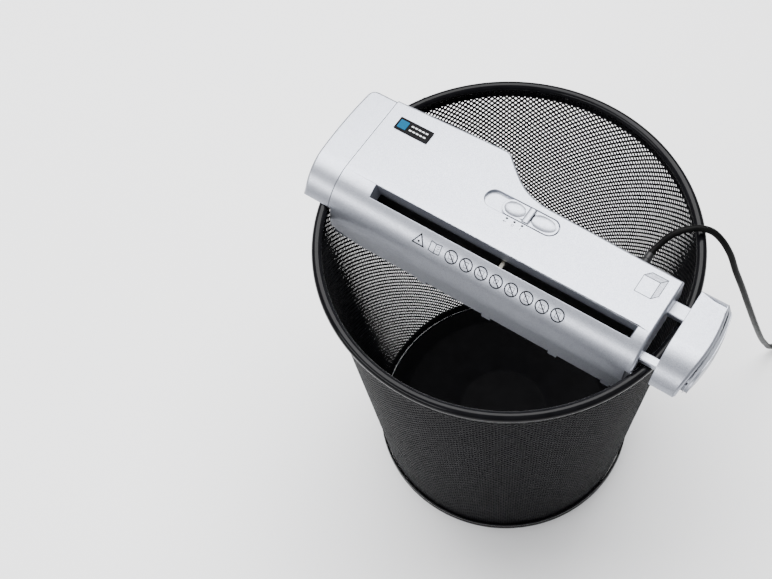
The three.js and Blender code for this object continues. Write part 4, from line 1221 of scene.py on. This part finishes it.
def make_badge():
    """A plain black plate with a blue tile and two rows of short bars."""
    low, high = box_mm("badge_plate")
    plate = prism("badge", rounded_box(low.x, high.x, low.y, high.y, 0.9), "Z", TOP + 0.02, high.z)
    soften(plate, 0.22, None, 3, 40)
    piece(plate, "head", "black_plastic", "badge_plate", look=BADGE_BLACK)

    def on_badge(u, v):
        return (u, v, high.z + 0.05)

    middle = (low.y + high.y) / 2
    tile = Print("badge_tile", on_badge)
    tile.filled(rounded_box(low.x + 1.8, low.x + 9.4, middle - 3.8, middle + 3.8, 0.5))
    tile.done(INK_BLUE)
    bars = Print("badge_bars", on_badge)
    for v in (middle + 2.0, middle - 2.0):
        for i in range(5):
            u = low.x + 12.2 + 3.2 * i
            bars.line([(u, v), (u + 2.2, v)], 1.1)
    bars.done(INK_WHITE)


def rounded_box(x0, x1, y0, y1, radius):
    corners = ((x1 - radius, y0 + radius, -90), (x1 - radius, y1 - radius, 0))
    corners += ((x0 + radius, y1 - radius, 90), (x0 + radius, y0 + radius, 180))
    outline = []
    for cx, cy, start in corners:
        outline += arc(cx, cy, radius, start, start + 90, 5)
    return outline


front_marks()
roof_marks()
make_badge()

# --- inner pieces: CAD shapes with their own materials, or turned finer ---

LANE = 6.9  # one disc or one hub
LANES = 32
LANES_LEFT = -100.0
NIP_Z = 312.0
SHAFTS = {"front": -35.5, "rear": -15.5}


def make_rollers():
    """Turned cutting rollers: discs with bevelled cutting edges, and plain hubs between them."""
    for place, y in SHAFTS.items():
        node = f"cutting_roller_{place}"
        low, high = box_mm(node)
        profile = [(0, low.x), (3.6, low.x), (4.0, low.x + 0.4), (4.0, LANES_LEFT)]
        for lane in range(LANES):
            start = LANES_LEFT + lane * LANE
            if (lane % 2 == 1) == (place == "rear"):
                profile += [(11.1, start + 0.15), (11.45, start + 0.5), (11.2, start + LANE / 2)]
                profile += [(11.45, start + LANE - 0.5), (11.1, start + LANE - 0.15)]
            else:
                begin = start - 0.15 if lane else start
                finish = start + LANE + 0.15 if lane < LANES - 1 else start + LANE
                profile += [(8.0, begin), (8.0, finish)]
        profile += [(4.0, LANES_LEFT + LANES * LANE), (4.0, high.x - 0.4), (3.6, high.x), (0, high.x)]
        roller = turned(f"roller_{place}", profile, (0, y, NIP_Z), "X", 72)
        piece(smooth(roller, 30.0, weighted=False), f"{place}_cutter", "steel", node, look=STEEL_ALONG)


def dress_the_rest():
    """Dresses every other CAD node that is still shown."""
    slots = {entry["node"]: entry["material_slot"] for entry in frame["record"]["subparts"]}
    for name, node in frame["nodes"].items():
        if node.hide_render or name == "lower_housing":
            continue
        dress(node, slots[name], 0.25)


make_rollers()
dress_the_rest()

# --- floor and light ---


def make_floor():
    """A wide white floor just under the object."""
    half = 3000
    corners = [(-half, -half), (half, -half), (half, half), (-half, half)]
    floor = mesh_object("studio_floor", [(x, y, -0.05) for x, y in corners], [(0, 1, 2, 3)])
    tint = ((3.0, 2.0), (0.3, (0.93, 0.93, 0.935)), (0.7, (0.95, 0.95, 0.955)))
    floor.data.materials.append(mottled("studio_white", tint, ((6.0, 2.0), 0.7, 0.8), specular=0.2))


def area_light(name, place, aim, width, height, power):
    data = bpy.data.lights.new(name, "AREA")
    data.shape = "RECTANGLE"
    data.size = width
    data.size_y = height
    data.energy = power
    lamp = bpy.data.objects.new(name, data)
    bpy.context.scene.collection.objects.link(lamp)
    lamp.location = place
    lamp.rotation_mode = "QUATERNION"
    lamp.rotation_quaternion = (Vector(aim) - Vector(place)).to_track_quat("-Z", "Y")


def make_light():
    world = bpy.data.worlds.new("studio")
    bpy.context.scene.world = world
    world.use_nodes = True
    background = world.node_tree.nodes["Background"]
    background.inputs["Color"].default_value = (0.93, 0.95, 1.0, 1.0)
    background.inputs["Strength"].default_value = 0.3
    area_light("overhead", (-0.5, 0.6, 2.4), (0.0, 0.0, 0.3), 2.8, 2.0, 215.0)
    area_light("front_strip", (-0.9, -2.1, 1.5), (0.0, 0.0, 0.3), 2.4, 0.45, 52.0)


make_floor()
make_light()
